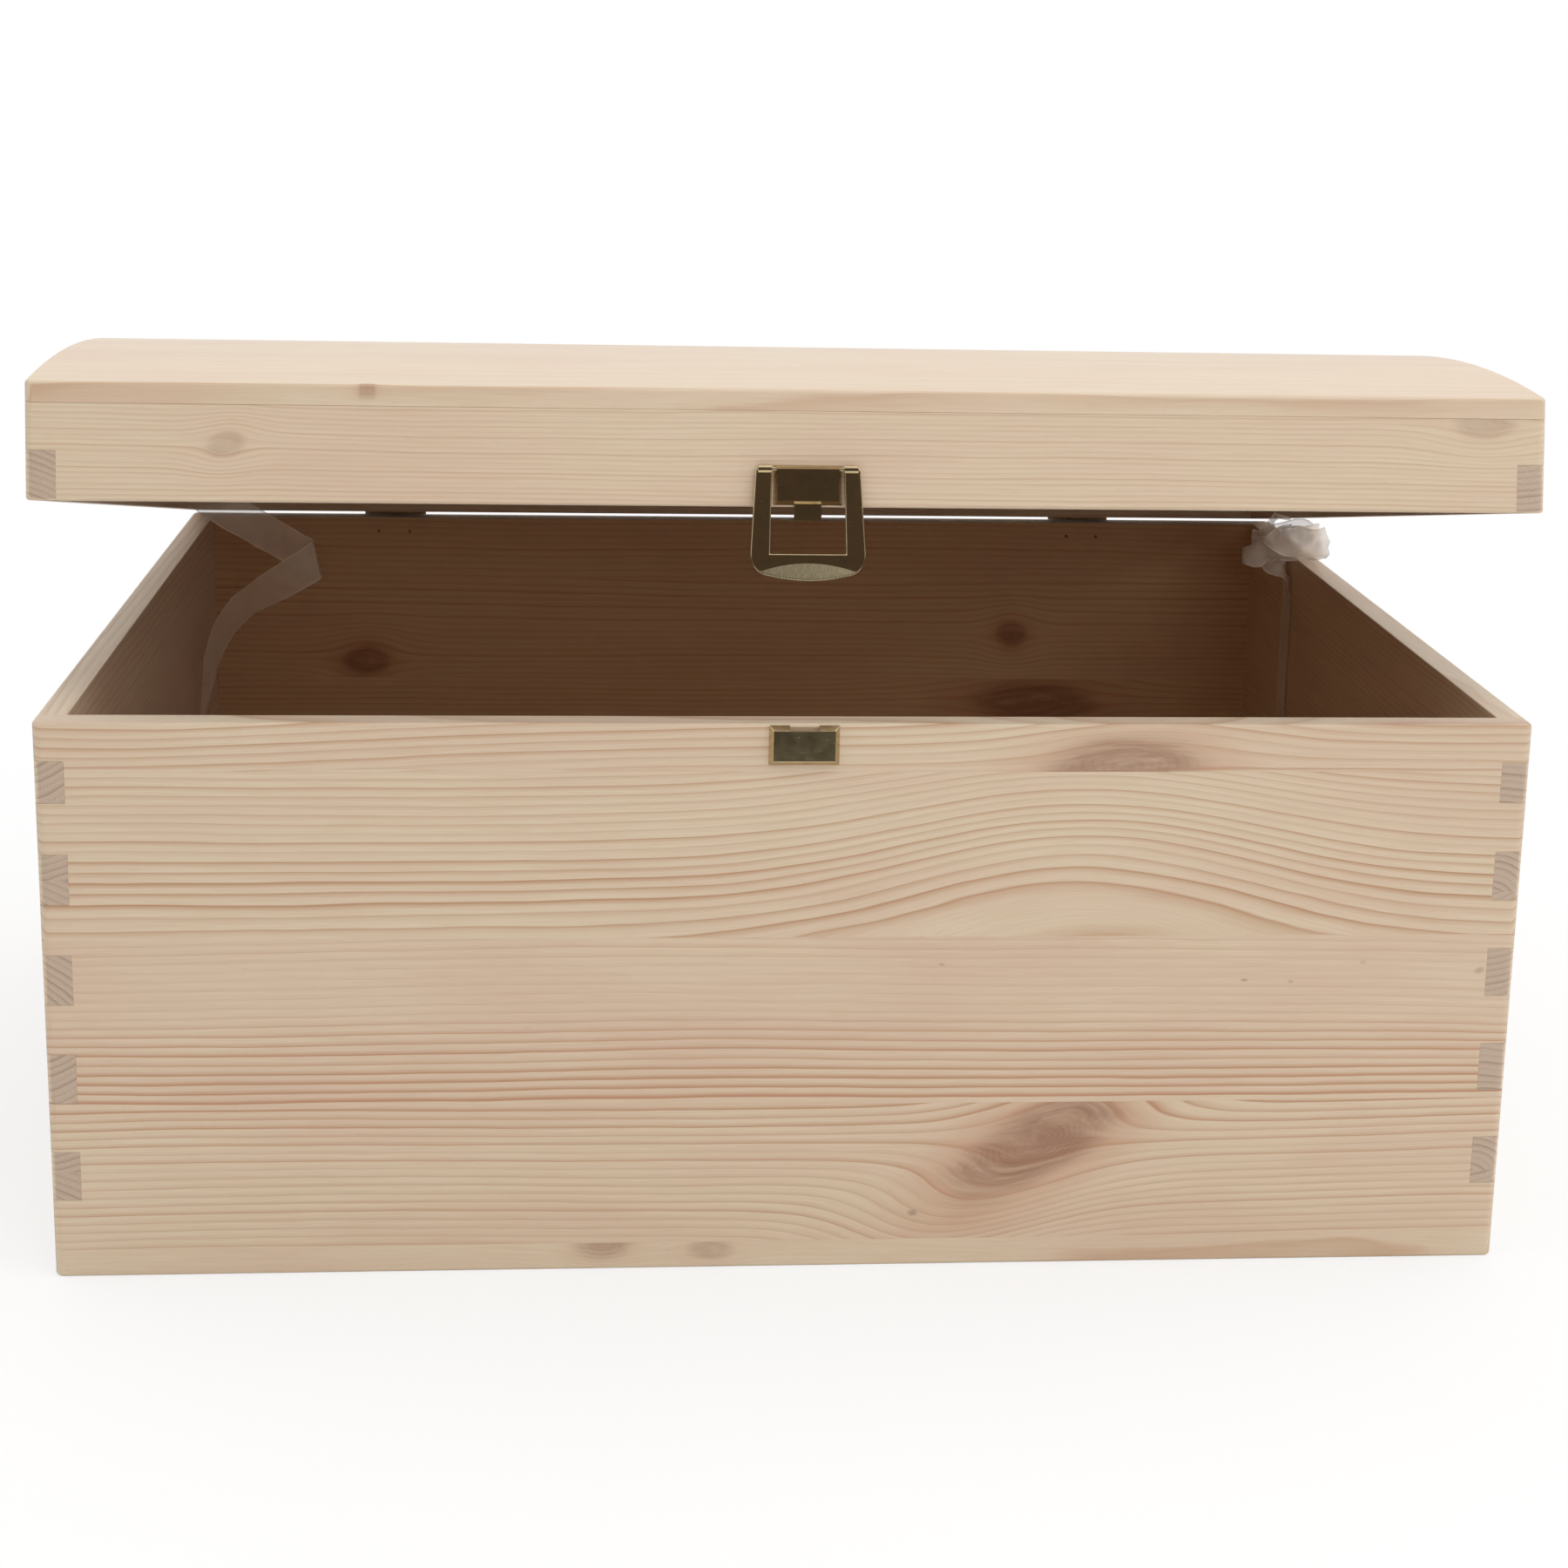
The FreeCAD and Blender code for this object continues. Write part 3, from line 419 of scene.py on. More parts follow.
ALONG_WIDTH = (math.radians(90), 0, 0)
ALONG_DEPTH = (math.radians(90), 0, math.radians(90))
box_boards = {
    "front_panel": pine(
        "pine_front", (0, -PANEL_HALF_DEPTH, 0), ALONG_WIDTH,
        [(7.8, 2, 30, 0.25), (47.9, 78, 14, 0.3), (95.9, 138, 22, 0.7), (142.3, 80, 22, 0.2),
         (155.5, 118, 12, 0.15)],
        knots=[(88, 143, 40, 15, 6, 0.62), (69, 37, 54, 20, 33, 0.85), (-52, 7, 15, 8, 0, 0.3),
               (-22, 5.5, 13, 6, 0, 0.2)],
        bands=[(56, 9, 1.3), (84, 9, -0.7), (105, 12, 0.6)],
        swells=[(80, 97, 62, 60, 24), (-190, 150, 90, 40, -7)],
        pins=[(34, 15.5, 3, 2, 0, 0.4), (124, 83, 2.2, 1, 0, 0.4), (137, 82.5, 2, 1, 0, 0.25),
              (157, 88, 1.8, 1.2, 0, 0.2), (190, 85.5, 3, 1.8, 20, 0.3), (40, 88, 1.8, 1, 0, 0.25)],
        ring=2.4, seed=3.0),
    "back_panel": pine(
        "pine_back", (0, PANEL_HALF_DEPTH, 0), ALONG_WIDTH,
        [(45, 70, 20, 0.3), (95.5, 30, 15, 0.4), (133, 150, 14, 0.35), (155.5, 100, 18, 0.3)],
        knots=[(-138, 102, 15, 11, 10, 0.85), (102, 113, 11, 10, 0, 0.8), (112, 87, 44, 17, 4, 0.8)],
        pins=[(-20, 60, 3, 2, 0, 0.7)], seed=41.0),
    "left_panel": pine(
        "pine_left", (-PANEL_HALF_WIDTH, 0, 0), ALONG_DEPTH,
        [(30, -20, 14, 0.3), (72, 90, 10, 0.4), (112, 60, 16, 0.3), (155.5, 170, 12, 0.25)],
        knots=[(-60, 92, 14, 10, 0, 0.8), (88, 40, 24, 14, 12, 0.7)], ring=1.9, seed=77.0),
    "right_panel": pine(
        "pine_right", (PANEL_HALF_WIDTH, 0, 0), ALONG_DEPTH,
        [(26, 60, 12, 0.3), (64, 20, 9, 0.3), (108, 130, 14, 0.3), (155.5, 105, 10, 0.25)],
        knots=[(40, 45, 18, 12, 0, 0.7), (-96, 50, 12, 9, 0, 0.8)], ring=1.9, seed=113.0),
}
for node, wood in box_boards.items():
    board = eased_copy(node, node + "_board", [
        (OUTER_ARRIS, 3, is_outer_arris), (INNER_ARRIS, 2, is_inner_arris), (SAW_LINE, 1, is_outside)])
    board.data.materials.append(wood)
    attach(board, "box")


# Bottom: one sheet of thin birch plywood, let into a rebate all round and glued flush with the foot.
birch_ply, tree, shader = new_material("birch_ply")
place = add_node(tree, "ShaderNodeTexCoord", output=3)
figure = stretched_noise(tree, place, (5, 22, 60), 4, Distortion=1.2)
flecks = stretched_noise(tree, place, (150, 1300, 900), 3)
veneer = ramp(tree, maths(tree, "FRACT", maths(tree, "MULTIPLY", figure, 9)),
              [(0.0, srgb(219, 194, 158)), (0.6, srgb(226, 204, 170)), (0.92, srgb(205, 174, 136)),
               (1.0, srgb(219, 194, 158))])
veneer = blend_colour(tree, smooth_step(tree, flecks, 0.55, 0.75, 0.0, 0.3), veneer, srgb(190, 154, 116))
tree.links.new(veneer, shader.inputs["Base Color"])
tree.links.new(smooth_step(tree, flecks, 0.3, 0.7, 0.5, 0.62), shader.inputs["Roughness"])
tree.links.new(add_node(tree, "ShaderNodeBump", {"Strength": 0.2, "Distance": 0.00006, "Height": flecks}),
               shader.inputs["Normal"])
bottom = eased_copy("bottom_panel", "bottom_board", [(SAW_LINE, 1, lambda middle: True)])
bottom.data.materials.append(birch_ply)
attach(bottom, "box")


# Lid: a low pine frame, one finger in each corner, under five pine staves planed to a shallow dome.
# The staves are glued to the rails and the arched ends, and the outside is sanded round.
LID_TILT = math.radians(10.2)
pin_low, pin_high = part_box("hinge_left_pin")
PIN_LINE = Vector((0, (pin_low.y + pin_high.y) / 2, (pin_low.z + pin_high.z) / 2))
TO_CLOSED = Matrix.Rotation(LID_TILT, 4, "X") @ Matrix.Translation(-PIN_LINE)
LID_FRONT_FACE = -PIN_LINE.y - PANEL_HALF_DEPTH
LID_BACK_FACE = PANEL_HALF_DEPTH - PIN_LINE.y
LID_LOW = 0.2 * MM
LID_EDGE_TOP = 30.5 * MM
DOME_RADIUS = 650 * MM
DOME_CENTRE = -599.5 * MM
STAVE_PITCH = 64 * MM
TOP_GRAIN_HEIGHT = 45 * MM


def at_lid_side(closed):
    """At the outside of the lid's front, back or ends, for a point of the closed lid."""
    return (abs(closed.x) > PANEL_HALF_WIDTH - NEAR_OUTSIDE or closed.y < LID_FRONT_FACE + NEAR_OUTSIDE
            or closed.y > LID_BACK_FACE - NEAR_OUTSIDE)


def is_lid_arris(middle):
    """On the lid's free outer edges: its foot, the top edges of its front and back, and the dome's ends."""
    closed = TO_CLOSED @ middle
    from_crown = closed.y - LID_FRONT_FACE - PANEL_HALF_DEPTH
    arch = math.sqrt(DOME_RADIUS ** 2 - from_crown ** 2) + DOME_CENTRE + LID_LOW
    return at_lid_side(closed) and (closed.z < LID_LOW + ON_EDGE or closed.z > arch - 0.6 * MM)


def is_lid_outside(middle):
    closed = TO_CLOSED @ middle
    return at_lid_side(closed) or closed.z > LID_EDGE_TOP - 1 * MM


TILTED = Matrix.Rotation(-LID_TILT, 3, "X")
LID_RAIL_GRAIN = (TILTED @ Euler(ALONG_WIDTH).to_matrix()).to_euler()
LID_END_GRAIN = (TILTED @ Euler(ALONG_DEPTH).to_matrix()).to_euler()
LID_TOP_GRAIN = TILTED.to_euler()


def on_lid(x, y, z):
    """Where a point of the closed lid, measured from the hinge pin, stands on the ajar lid."""
    return TO_CLOSED.inverted() @ Vector((x, y, z))


lid_boards = {
    "lid_front_rail": pine(
        "pine_lid_front", on_lid(0, LID_FRONT_FACE, 0), LID_RAIL_GRAIN, [(40, -70, 16, 0.35)],
        knots=[(-149, 15, 9, 6, 15, 0.08), (183, 24, 16, 8, 0, 0.12)], ring=1.35, seed=151.0, line=0.7),
    "lid_back_rail": pine(
        "pine_lid_back", on_lid(0, LID_BACK_FACE, 0), LID_RAIL_GRAIN, [(40, 95, 16, 0.3)],
        knots=[(60, 12, 11, 8, 0, 0.7)], ring=1.7, seed=187.0),
    "lid_left_end": pine(
        "pine_lid_left", on_lid(-PANEL_HALF_WIDTH, LID_FRONT_FACE / 2, 0), LID_END_GRAIN,
        [(60, -40, 12, 0.3)], knots=[(50, 30, 12, 9, 0, 0.7)], ring=1.7, seed=211.0),
    "lid_right_end": pine(
        "pine_lid_right", on_lid(PANEL_HALF_WIDTH, LID_FRONT_FACE / 2, 0), LID_END_GRAIN,
        [(60, 80, 12, 0.3)], knots=[(-70, 22, 13, 8, 0, 0.7)], ring=1.7, seed=239.0),
}
stave_sawing = [(-90, 24, 0.2), (35, 20, 0.3), (-20, 16, 0.15), (60, 22, 0.3), (10, 18, 0.25)]
stave_knots = [[(-113, 0.3, 4, 2.5, 0, 0.3)], [], [(90, 30, 16, 11, 8, 0.6)],
               [(-60, 20, 14, 9, 0, 0.6)], []]
for index, (pith, deep, redness) in enumerate(stave_sawing):
    lid_boards[f"lid_stave_{index + 1}"] = pine(
        f"pine_lid_top_{index + 1}", on_lid(0, LID_FRONT_FACE + index * STAVE_PITCH, TOP_GRAIN_HEIGHT),
        LID_TOP_GRAIN, [(64.5, pith, deep, redness)], knots=stave_knots[index], ring=1.8,
        seed=263.0 + 29 * index, line=0.75)
for node, wood in lid_boards.items():
    board = eased_copy(node, node + "_board", [(OUTER_ARRIS, 3, is_lid_arris),
                                               (SAW_LINE, 1, is_lid_outside)])
    board.data.materials.append(wood)
    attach(board, "lid")


# Hinges: two small butt hinges of rolled brass-plated sheet on the outside of the back, each on its own
# pin. Two nails a leaf go right through the wood, and their points show inside.
def brass(name, roughness, colour, smudge=0.08):
    """Brass plate on steel: polished, with faint smudges and fine scratches in its lacquer."""
    material, tree, shader = new_material(name)
    place = add_node(tree, "ShaderNodeTexCoord", output=3)
    smudges = add_node(tree, "ShaderNodeTexNoise", {0: place, "Scale": 260, "Detail": 3})
    scratch_map = add_node(tree, "ShaderNodeMapping", {0: place, 2: (0.3, 0.1, 0.5), 3: (400, 3000, 6000)})
    scratches = add_node(tree, "ShaderNodeTexNoise", {0: scratch_map, "Scale": 1, "Detail": 2})
    tree.links.new(blend_colour(tree, smooth_step(tree, smudges, 0.35, 0.7), colour,
                                tuple(level * 0.82 for level in colour[:3]) + (1,)),
                   shader.inputs["Base Color"])
    tree.links.new(maths(tree, "ADD", smooth_step(tree, smudges, 0.3, 0.7, roughness, roughness + smudge),
                         smooth_step(tree, scratches, 0.6, 0.75, 0.0, 0.1)), shader.inputs["Roughness"])
    shader.inputs["Metallic"].default_value = 1.0
    tree.links.new(add_node(tree, "ShaderNodeBump", {"Strength": 0.12, "Distance": 0.00003,
                                                     "Height": smudges}), shader.inputs["Normal"])
    return material


polished_brass = brass("polished_brass", 0.12, srgb(210, 192, 154))
bright_steel = brass("bright_steel", 0.3, srgb(178, 174, 166))
HARDWARE_EDGE = 0.12 * MM
for hand in ("left", "right"):
    for half in ("box", "lid"):
        leaf = eased_copy(f"hinge_{hand}_{half}_leaf", f"hinge_{hand}_{half}_strap",
                          [(HARDWARE_EDGE, 2, lambda middle: True)])
        leaf.data.materials.append(polished_brass)
        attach(leaf, half)
        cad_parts[f"hinge_{hand}_{half}_nails"].material_slots[0].material = polished_brass
    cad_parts[f"hinge_{hand}_pin"].material_slots[0].material = polished_brass


# Clasp plate and catch: shallow trays pressed from brass-plated sheet, with sloped sides. The plate on the
# lid has a tongue below it and carries the loop's pin, and the catch on the box is notched for the tongue.
TRAY_EDGE = 0.16 * MM
plate = eased_copy("clasp_plate", "clasp_tray", [(TRAY_EDGE, 3, lambda middle: True)])
catch = eased_copy("catch_plate", "catch_tray", [(TRAY_EDGE, 3, lambda middle: True)])
for tray, body in ((plate, "lid"), (catch, "box")):
    tray.data.materials.append(polished_brass)
    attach(tray, body)
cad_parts["clasp_pin"].material_slots[0].material = polished_brass


# Clasp loop: one blank of brass-plated sheet with a window, wider at its foot. Its arms are curled round
# the pin, and a crescent of its foot is pressed outwards as a finger lip, with a brushed face.
LOOP_SHEET = 1.0
LOOP_LEAN = math.radians(4)
LOOP_ROUND = 0.4
ARM_COLUMNS = 7
WINDOW_COLUMNS = 26
LOOP_COLUMNS = 2 * ARM_COLUMNS + WINDOW_COLUMNS
ARM_ROWS = 10
BAR_ROWS = 4
LIP_ROWS = 1
LOOP_ROWS = ARM_ROWS + BAR_ROWS + LIP_ROWS
BARREL_RADIUS = 1.1
BARREL_LENGTH = 3.75
BARREL_MIDDLE = 11.33
WINDOW_FOOT = -22.2
WINDOW_HALF, WINDOW_FLARE = 9.45, 0.55
LOOP_HALF, LOOP_FLARE = 13.75, 1.4
LOOP_REACH = 29.2
CORNER_FROM, CORNER_RADIUS = 10.65, 4.5
FOOT_CURVE = 1.4
LIP_CREST = -24.7
LIP_CURVE = 2.3
LIP_HALF = 12.9
LIP_SLOPE = 0.30


def loop_halves(height):
    """Half widths of the window and of the whole loop at a height under the pin."""
    share = min(1.0, (BARREL_RADIUS - height) / (BARREL_RADIUS - WINDOW_FOOT))
    return WINDOW_HALF + WINDOW_FLARE * share, LOOP_HALF + LOOP_FLARE * share


def loop_foot(x):
    """Height of the loop's lower edge: a shallow curve with a round corner at each end."""
    corner = min(1.0, max(0.0, abs(x) - CORNER_FROM) / CORNER_RADIUS)
    depth = LOOP_REACH + WINDOW_FOOT - FOOT_CURVE * min(1.0, (x / CORNER_FROM) ** 2)
    return WINDOW_FOOT - depth * math.sqrt(1 - corner ** 2)


def loop_column(column, height):
    """Sideways place of a column of the blank: close together towards an arm's outer edge."""
    window, whole = loop_halves(height)
    from_edge = min(column, LOOP_COLUMNS - column)
    if from_edge <= ARM_COLUMNS:
        inward = math.sin(math.pi / 2 * (1 - from_edge / ARM_COLUMNS))
        x = window + (whole - window) * inward
    else:
        x = window * (1 - 2 * (from_edge - ARM_COLUMNS) / WINDOW_COLUMNS)
    return -x if column * 2 < LOOP_COLUMNS else x


bm = bmesh.new()
bmesh.ops.create_grid(bm, x_segments=LOOP_COLUMNS, y_segments=LOOP_ROWS, size=1)
window_faces = []
lip_faces = []
for face in bm.faces:
    middle = face.calc_center_median()
    column = (middle.x + 1) / 2 * LOOP_COLUMNS
    row = (1 - middle.y) / 2 * LOOP_ROWS
    if ARM_COLUMNS < column < LOOP_COLUMNS - ARM_COLUMNS and row < ARM_ROWS:
        window_faces.append(face)
    elif row > ARM_ROWS + BAR_ROWS:
        lip_faces.append(face)
for vertex in bm.verts:
    column = round((vertex.co.x + 1) / 2 * LOOP_COLUMNS)
    row = round((1 - vertex.co.y) / 2 * LOOP_ROWS)
    if row <= ARM_ROWS:
        height = WINDOW_FOOT * row / ARM_ROWS
        x = loop_column(column, height)
        out = 0.0
    else:
        x = loop_column(column, WINDOW_FOOT)
        foot = loop_foot(x)
        crest = max(LIP_CREST - LIP_CURVE * (x / LIP_HALF) ** 2, foot)
        height = foot
        if row <= ARM_ROWS + BAR_ROWS:
            height = WINDOW_FOOT + (crest - WINDOW_FOOT) * (row - ARM_ROWS) / BAR_ROWS
        out = LIP_SLOPE * (crest - height) if row > ARM_ROWS + BAR_ROWS else 0.0
    vertex.co = Vector((x, -out, height)) * MM
for face in lip_faces:
    face.material_index = 1
bmesh.ops.delete(bm, geom=window_faces, context="FACES")
bmesh.ops.remove_doubles(bm, verts=bm.verts, dist=0.06 * MM)
bmesh.ops.dissolve_limit(bm, angle_limit=math.radians(0.2), verts=bm.verts, edges=bm.edges,
                         delimit={"MATERIAL"})
bmesh.ops.recalc_face_normals(bm, faces=bm.faces)
if sum(face.normal.y for face in bm.faces) > 0:
    bmesh.ops.reverse_faces(bm, faces=bm.faces)
front_faces = list(bm.faces)
bmesh.ops.solidify(bm, geom=front_faces, thickness=LOOP_SHEET * MM)
bmesh.ops.translate(bm, verts=bm.verts, vec=(0, -LOOP_SHEET / 2 * MM, 0))
rim_edges = [edge for edge in bm.edges
             if len(edge.link_faces) == 2 and edge.calc_face_angle() > math.radians(60)]
bmesh.ops.bevel(bm, geom=rim_edges, offset=LOOP_ROUND * MM, segments=3, profile=0.5, affect="EDGES",
                material=-1, clamp_overlap=True)
for side in (-1, 1):
    barrel = bmesh.ops.create_cone(bm, segments=28, radius1=BARREL_RADIUS * MM, radius2=BARREL_RADIUS * MM,
                                   depth=BARREL_LENGTH * MM, cap_ends=True)
    across_arm = Matrix.Translation((side * BARREL_MIDDLE * MM, 0, 0)) @ Matrix.Rotation(math.pi / 2, 4, "Y")
    bmesh.ops.transform(bm, verts=barrel["verts"], matrix=across_arm)
    rims = [edge for edge in {edge for vertex in barrel["verts"] for edge in vertex.link_edges}
            if edge.calc_face_angle() > math.radians(60)]
    bmesh.ops.bevel(bm, geom=rims, offset=HARDWARE_EDGE, segments=2, profile=0.5, affect="EDGES",
                    material=-1)
axle = (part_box("clasp_pin")[0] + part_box("clasp_pin")[1]) / 2
bmesh.ops.transform(bm, verts=bm.verts, matrix=Matrix.Translation(axle)
                    @ Matrix.Rotation(-LID_TILT - LOOP_LEAN, 4, "X"))
for edge in bm.edges:
    edge.smooth = len({face.material_index for face in edge.link_faces}) == 1
loop_mesh = bpy.data.meshes.new("clasp_bail")
bm.to_mesh(loop_mesh)
bm.free()
loop_mesh.shade_smooth()
loop = add_object("clasp_bail", loop_mesh)
loop.modifiers.new("normals", "WEIGHTED_NORMAL").keep_sharp = True
brushed_brass, tree, shader = new_material("brushed_brass")
place = add_node(tree, "ShaderNodeTexCoord", output=3)
brushing = stretched_noise(tree, place, (9000, 900, 900), 2)
tree.links.new(blend_colour(tree, smooth_step(tree, brushing, 0.3, 0.7), srgb(196, 184, 152),
                            srgb(150, 138, 110)), shader.inputs["Base Color"])
tree.links.new(smooth_step(tree, brushing, 0.3, 0.7, 0.34, 0.5), shader.inputs["Roughness"])
shader.inputs["Metallic"].default_value = 1.0
tree.links.new(add_node(tree, "ShaderNodeBump", {"Strength": 0.3, "Distance": 0.00003, "Height": brushing}),
               shader.inputs["Normal"])
loop_mesh.materials.append(polished_brass)
loop_mesh.materials.append(brushed_brass)
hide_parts("clasp_loop")
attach(loop, "loop")


# Ribbon stays: two lengths of sheer white ribbon, each tacked to a side panel and to the lid's end above
# it, so that they stop the lid as it opens. The left one hangs in a slack fold under the ajar lid.
RIBBON_WIDTH = 12.0
RIBBON_LENGTH = 180.0
RIBBON_STEPS = 150
RIBBON_LANES = 8
ROUTE_STEPS = 600
TANGENT_REACH = 0.004
TACKED_END = 8
RUFFLE_RISE = 15

sheer_ribbon, tree, shader = new_material("sheer_ribbon")
weave_map = add_node(tree, "ShaderNodeTexCoord", output=2)
weave_parts = add_node(tree, "ShaderNodeSeparateXYZ", {0: weave_map}).node.outputs
THREADS_PER_MM = 4
thread_turns = 2 * math.pi * THREADS_PER_MM
warp_threads = maths(tree, "SINE", maths(tree, "MULTIPLY", weave_parts["Y"], thread_turns * RIBBON_WIDTH))
weft_threads = maths(tree, "SINE", maths(tree, "MULTIPLY", weave_parts["X"], thread_turns * RIBBON_LENGTH))
mesh_weave = maths(tree, "MAXIMUM", warp_threads, weft_threads)
selvedge = smooth_step(tree, maths(tree, "ABSOLUTE", maths(tree, "SUBTRACT", weave_parts["Y"], 0.5)),
                       0.44, 0.47)
cover = maths(tree, "MAXIMUM", smooth_step(tree, mesh_weave, -0.4, 0.9, 0.26, 0.56),
              maths(tree, "MULTIPLY", selvedge, 0.7))
tree.links.new(cover, shader.inputs["Alpha"])
tree.links.new(blend_colour(tree, smooth_step(tree, mesh_weave, -0.5, 1.0), srgb(234, 208, 190),
                            srgb(252, 242, 230)), shader.inputs["Base Color"])
shader.inputs["Roughness"].default_value = 0.42
shader.inputs["Sheen Weight"].default_value = 0.6
tree.links.new(add_node(tree, "ShaderNodeBump", {"Strength": 0.3, "Distance": 0.00005,
                                                 "Height": mesh_weave}), shader.inputs["Normal"])


def between(points, share):
    """A smooth line (Catmull-Rom) through control points of any number of values."""
    spans = len(points) - 1
    span = min(spans - 1, int(share * spans))
    t = share * spans - span
    before, start = points[max(0, span - 1)], points[span]
    end, after = points[span + 1], points[min(spans, span + 2)]
    return [0.5 * (2 * b + (c - a) * t + (2 * a - 5 * b + 4 * c - d) * t ** 2
                   + (3 * b - a - 3 * c + d) * t ** 3) for a, b, c, d in zip(before, start, end, after)]


noise.seed_set(5)


def ribbon(name, route, crumple, flat_end, settle):
    """A strip along a route of (x, y, z, and the direction across the ribbon). crumple is the height of its
    ruffles, and flat_end the length that lies flat before they start. settle moves each point of the
    finished strip, such as over a fold or clear of the wood."""
    bm = bmesh.new()
    bm.loops.layers.uv.new("cloth")
    bmesh.ops.create_grid(bm, x_segments=RIBBON_STEPS, y_segments=RIBBON_LANES, size=1, calc_uvs=True)
    fine = [Vector(between(route, step / ROUTE_STEPS)[:3]) for step in range(ROUTE_STEPS + 1)]
    lengths = [0.0]
    for start, end in zip(fine, fine[1:]):
        lengths.append(lengths[-1] + (end - start).length)
    for vertex in bm.verts:
        wanted = (vertex.co.x + 1) / 2 * lengths[-1]
        share = min(range(ROUTE_STEPS + 1), key=lambda step: abs(lengths[step] - wanted)) / ROUTE_STEPS
        values = between(route, share)
        ahead = Vector(between(route, min(1, share + TANGENT_REACH))[:3])
        back = Vector(between(route, max(0, share - TANGENT_REACH))[:3])
        tangent = (ahead - back).normalized()
        across = Vector(values[3:6])
        across = (across - tangent * across.dot(tangent)).normalized()
        face = tangent.cross(across)
        point = Vector(values[:3]) + across * vertex.co.y * RIBBON_WIDTH / 2
        from_flat = min(wanted - flat_end, lengths[-1] - TACKED_END - wanted)
        held = min(1.0, max(0.0, from_flat) / RUFFLE_RISE)
        ruffle = noise.noise_vector(Vector((wanted * 0.15, vertex.co.y * 1.3, crumple * 7)))
        fine_ruffle = noise.noise_vector(Vector((wanted * 0.5, vertex.co.y * 2.6, crumple * 13)))
        point += (face * (ruffle.x * crumple + fine_ruffle.x * crumple * 0.4) * held
                  + across * ruffle.y * crumple * 0.35 * held)
        vertex.co = settle(point) * MM
    mesh = bpy.data.meshes.new(name)
    bmesh.ops.recalc_face_normals(bm, faces=bm.faces)
    bm.to_mesh(mesh)
    bm.free()
    mesh.shade_smooth()
    made = add_object(name, mesh)
    mesh.materials.append(sheer_ribbon)
    return made


FOLD_POINT = Vector((-149.5, 0, 151.5))
FOLD_LINE = Vector((0.22, 0, -0.975)).normalized()
FOLD_ACROSS = Vector((-FOLD_LINE.z, 0, FOLD_LINE.x))
FOLD_RADIUS = 0.6


def unfold(x, y, z):
    """The mirror image of a point across the line of the fold."""
    past = (Vector((x, y, z)) - FOLD_POINT).dot(FOLD_ACROSS)
    flat = Vector((x, y, z)) - 2 * past * FOLD_ACROSS
    return flat.x, flat.y, flat.z


def fold_over(point):
    """Turn what lies past the line of the fold back on itself, round a small radius."""
    past = (point - FOLD_POINT).dot(FOLD_ACROSS)
    if past <= 0:
        return point
    onto_line = point - past * FOLD_ACROSS
    if past < math.pi * FOLD_RADIUS:
        angle = past / FOLD_RADIUS
        return (onto_line + FOLD_ACROSS * FOLD_RADIUS * math.sin(angle)
                + Vector((0, FOLD_RADIUS * (math.cos(angle) - 1), 0)))
    return onto_line - FOLD_ACROSS * (past - math.pi * FOLD_RADIUS) - Vector((0, 2 * FOLD_RADIUS, 0))


left_route = [(-191.3, 90, 184, 0, 1, 0), (-191.3, 90, 178, 0, 1, 0), (-189.5, 90.5, 173, 0.25, 0.9, 0.3),
              (-183, 91, 170, 0.5, 0.5, 0.8), (-175, 91, 165.5, 0.5, 0.1, 0.86),
              (-163, 91, 158.5, 0.48, 0, 0.88), (-153, 90.5, 153, 0.48, 0, 0.88)]
for x, y, z, side in ((-159, 88, 146, (0.75, 0.05, -0.66)), (-171, 87, 139, (0.6, 0.45, -0.66)),
                      (-180.5, 87, 130.5, (0.5, 0.7, -0.5)), (-186.5, 88, 118, (0.35, 0.9, -0.2)),
                      (-189.6, 89, 104, (0.15, 0.98, -0.05)), (-191, 90, 94, (0.03, 1, 0)),
                      (-191.3, 90, 84.5, (0, 1, 0))):
    mirrored = Vector(side) - 2 * Vector(side).dot(FOLD_ACROSS) * FOLD_ACROSS
    left_route.append(unfold(x, y, z) + tuple(-mirrored))
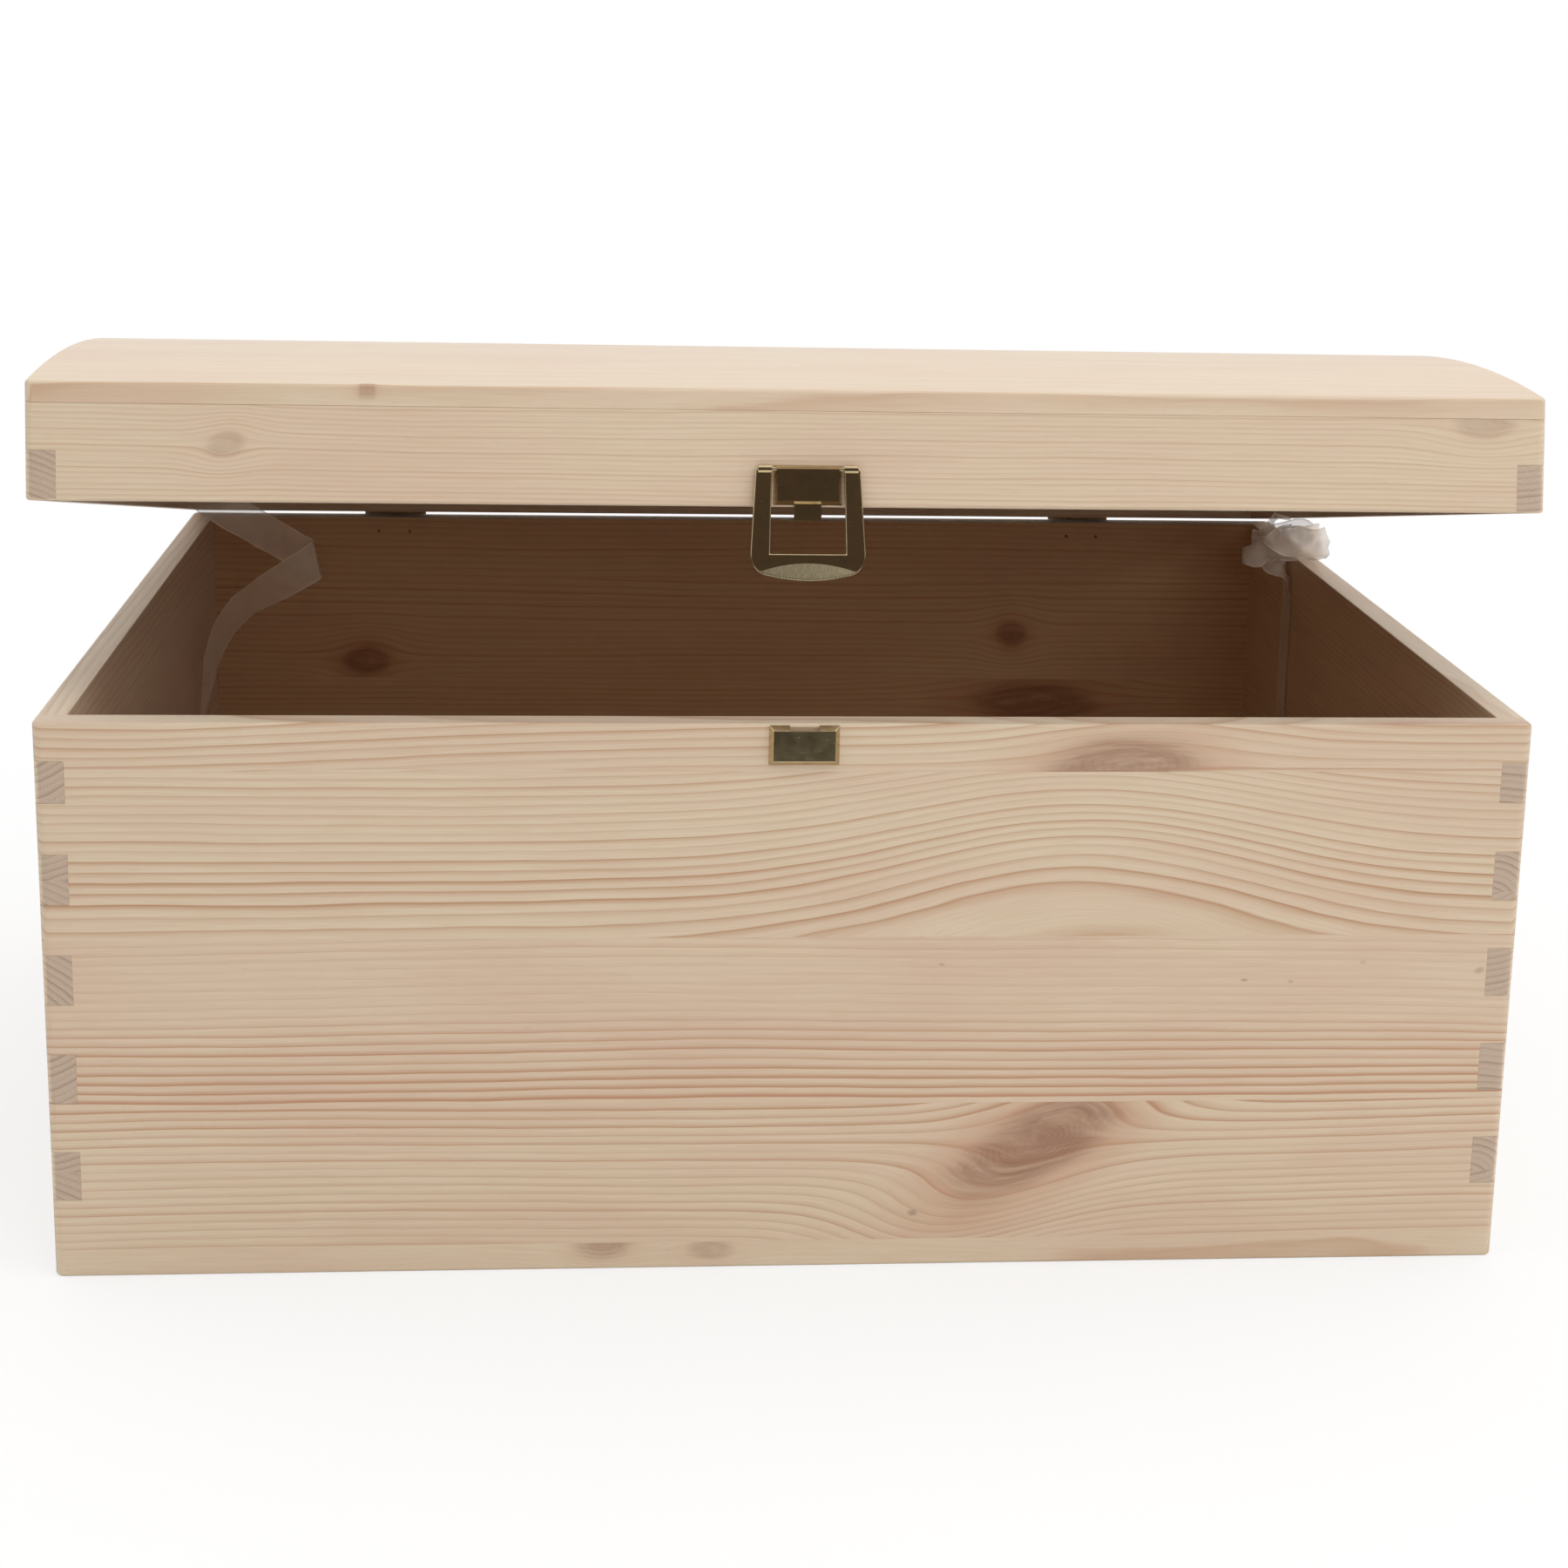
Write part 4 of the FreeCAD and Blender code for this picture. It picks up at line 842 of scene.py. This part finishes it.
left_ribbon = ribbon("ribbon_stay_left", left_route, 0.7, TACKED_END, fold_over)
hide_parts("ribbon_left")
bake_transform(left_ribbon)


# The right ribbon lies bunched on the rim, pushed between the side panel and the lid's end.
RIM_INSIDE = 190.8
WALL_FACE = 191.5
RIM_FACE = 155.9
NEAR_RIM = 150


def clear_of_rim(point):
    """Keep a point on top of the rim, or on the inner side of the panel lower down."""
    if point.x <= RIM_INSIDE:
        return point
    if point.z > NEAR_RIM:
        return Vector((point.x, point.y, max(point.z, RIM_FACE)))
    return Vector((min(point.x, WALL_FACE), point.y, point.z))


right_route = [(191.3, 90, 84.5, 0, 1, 0), (191.3, 90, 110, 0, 1, 0), (191.2, 90, 138, 0, 1, 0),
               (189.5, 89, 149, 0.2, 0.9, 0.3), (185, 87, 156.5, 0.5, 0.4, 0.8), (186, 86, 161, -0.3, 0.3, 1),
               (193, 88, 162.6, 0.2, 0.5, 0.8), (199.5, 86, 161.8, 0.3, -0.5, 0.9),
               (200.3, 81, 162.6, -0.2, 0.2, 1), (191, 81, 161.2, 0.3, 0.6, 0.8),
               (180, 83, 159.0, -0.1, 0.4, 0.9), (173.8, 80, 160.2, 0.2, 0.2, 1),
               (178, 76.5, 159.8, 0.3, -0.4, 0.9), (188, 77, 162.4, -0.3, -0.2, 1),
               (198, 76.5, 161.6, 0.3, 0.3, 0.9), (200.5, 74.4, 162.4, -0.1, 0.1, 1),
               (194, 73.6, 162.4, 0.4, -0.3, 0.9), (185, 75, 164, 0.3, 0.4, 0.8),
               (184, 82, 168, 0.2, 0.8, 0.4), (189.5, 88, 174, 0, 1, 0), (191.3, 90, 178, 0, 1, 0),
               (191.3, 90, 184, 0, 1, 0)]
right_ribbon = ribbon("ribbon_stay_right", right_route, 3.4, 52, clear_of_rim)
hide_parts("ribbon_right")
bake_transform(right_ribbon)


# Ribbon tacks: small flat-headed steel tacks through the ends of the ribbons into the wood.
for hand in ("left", "right"):
    for end in ("box", "lid"):
        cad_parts[f"ribbon_{hand}_{end}_tack"].material_slots[0].material = bright_steel
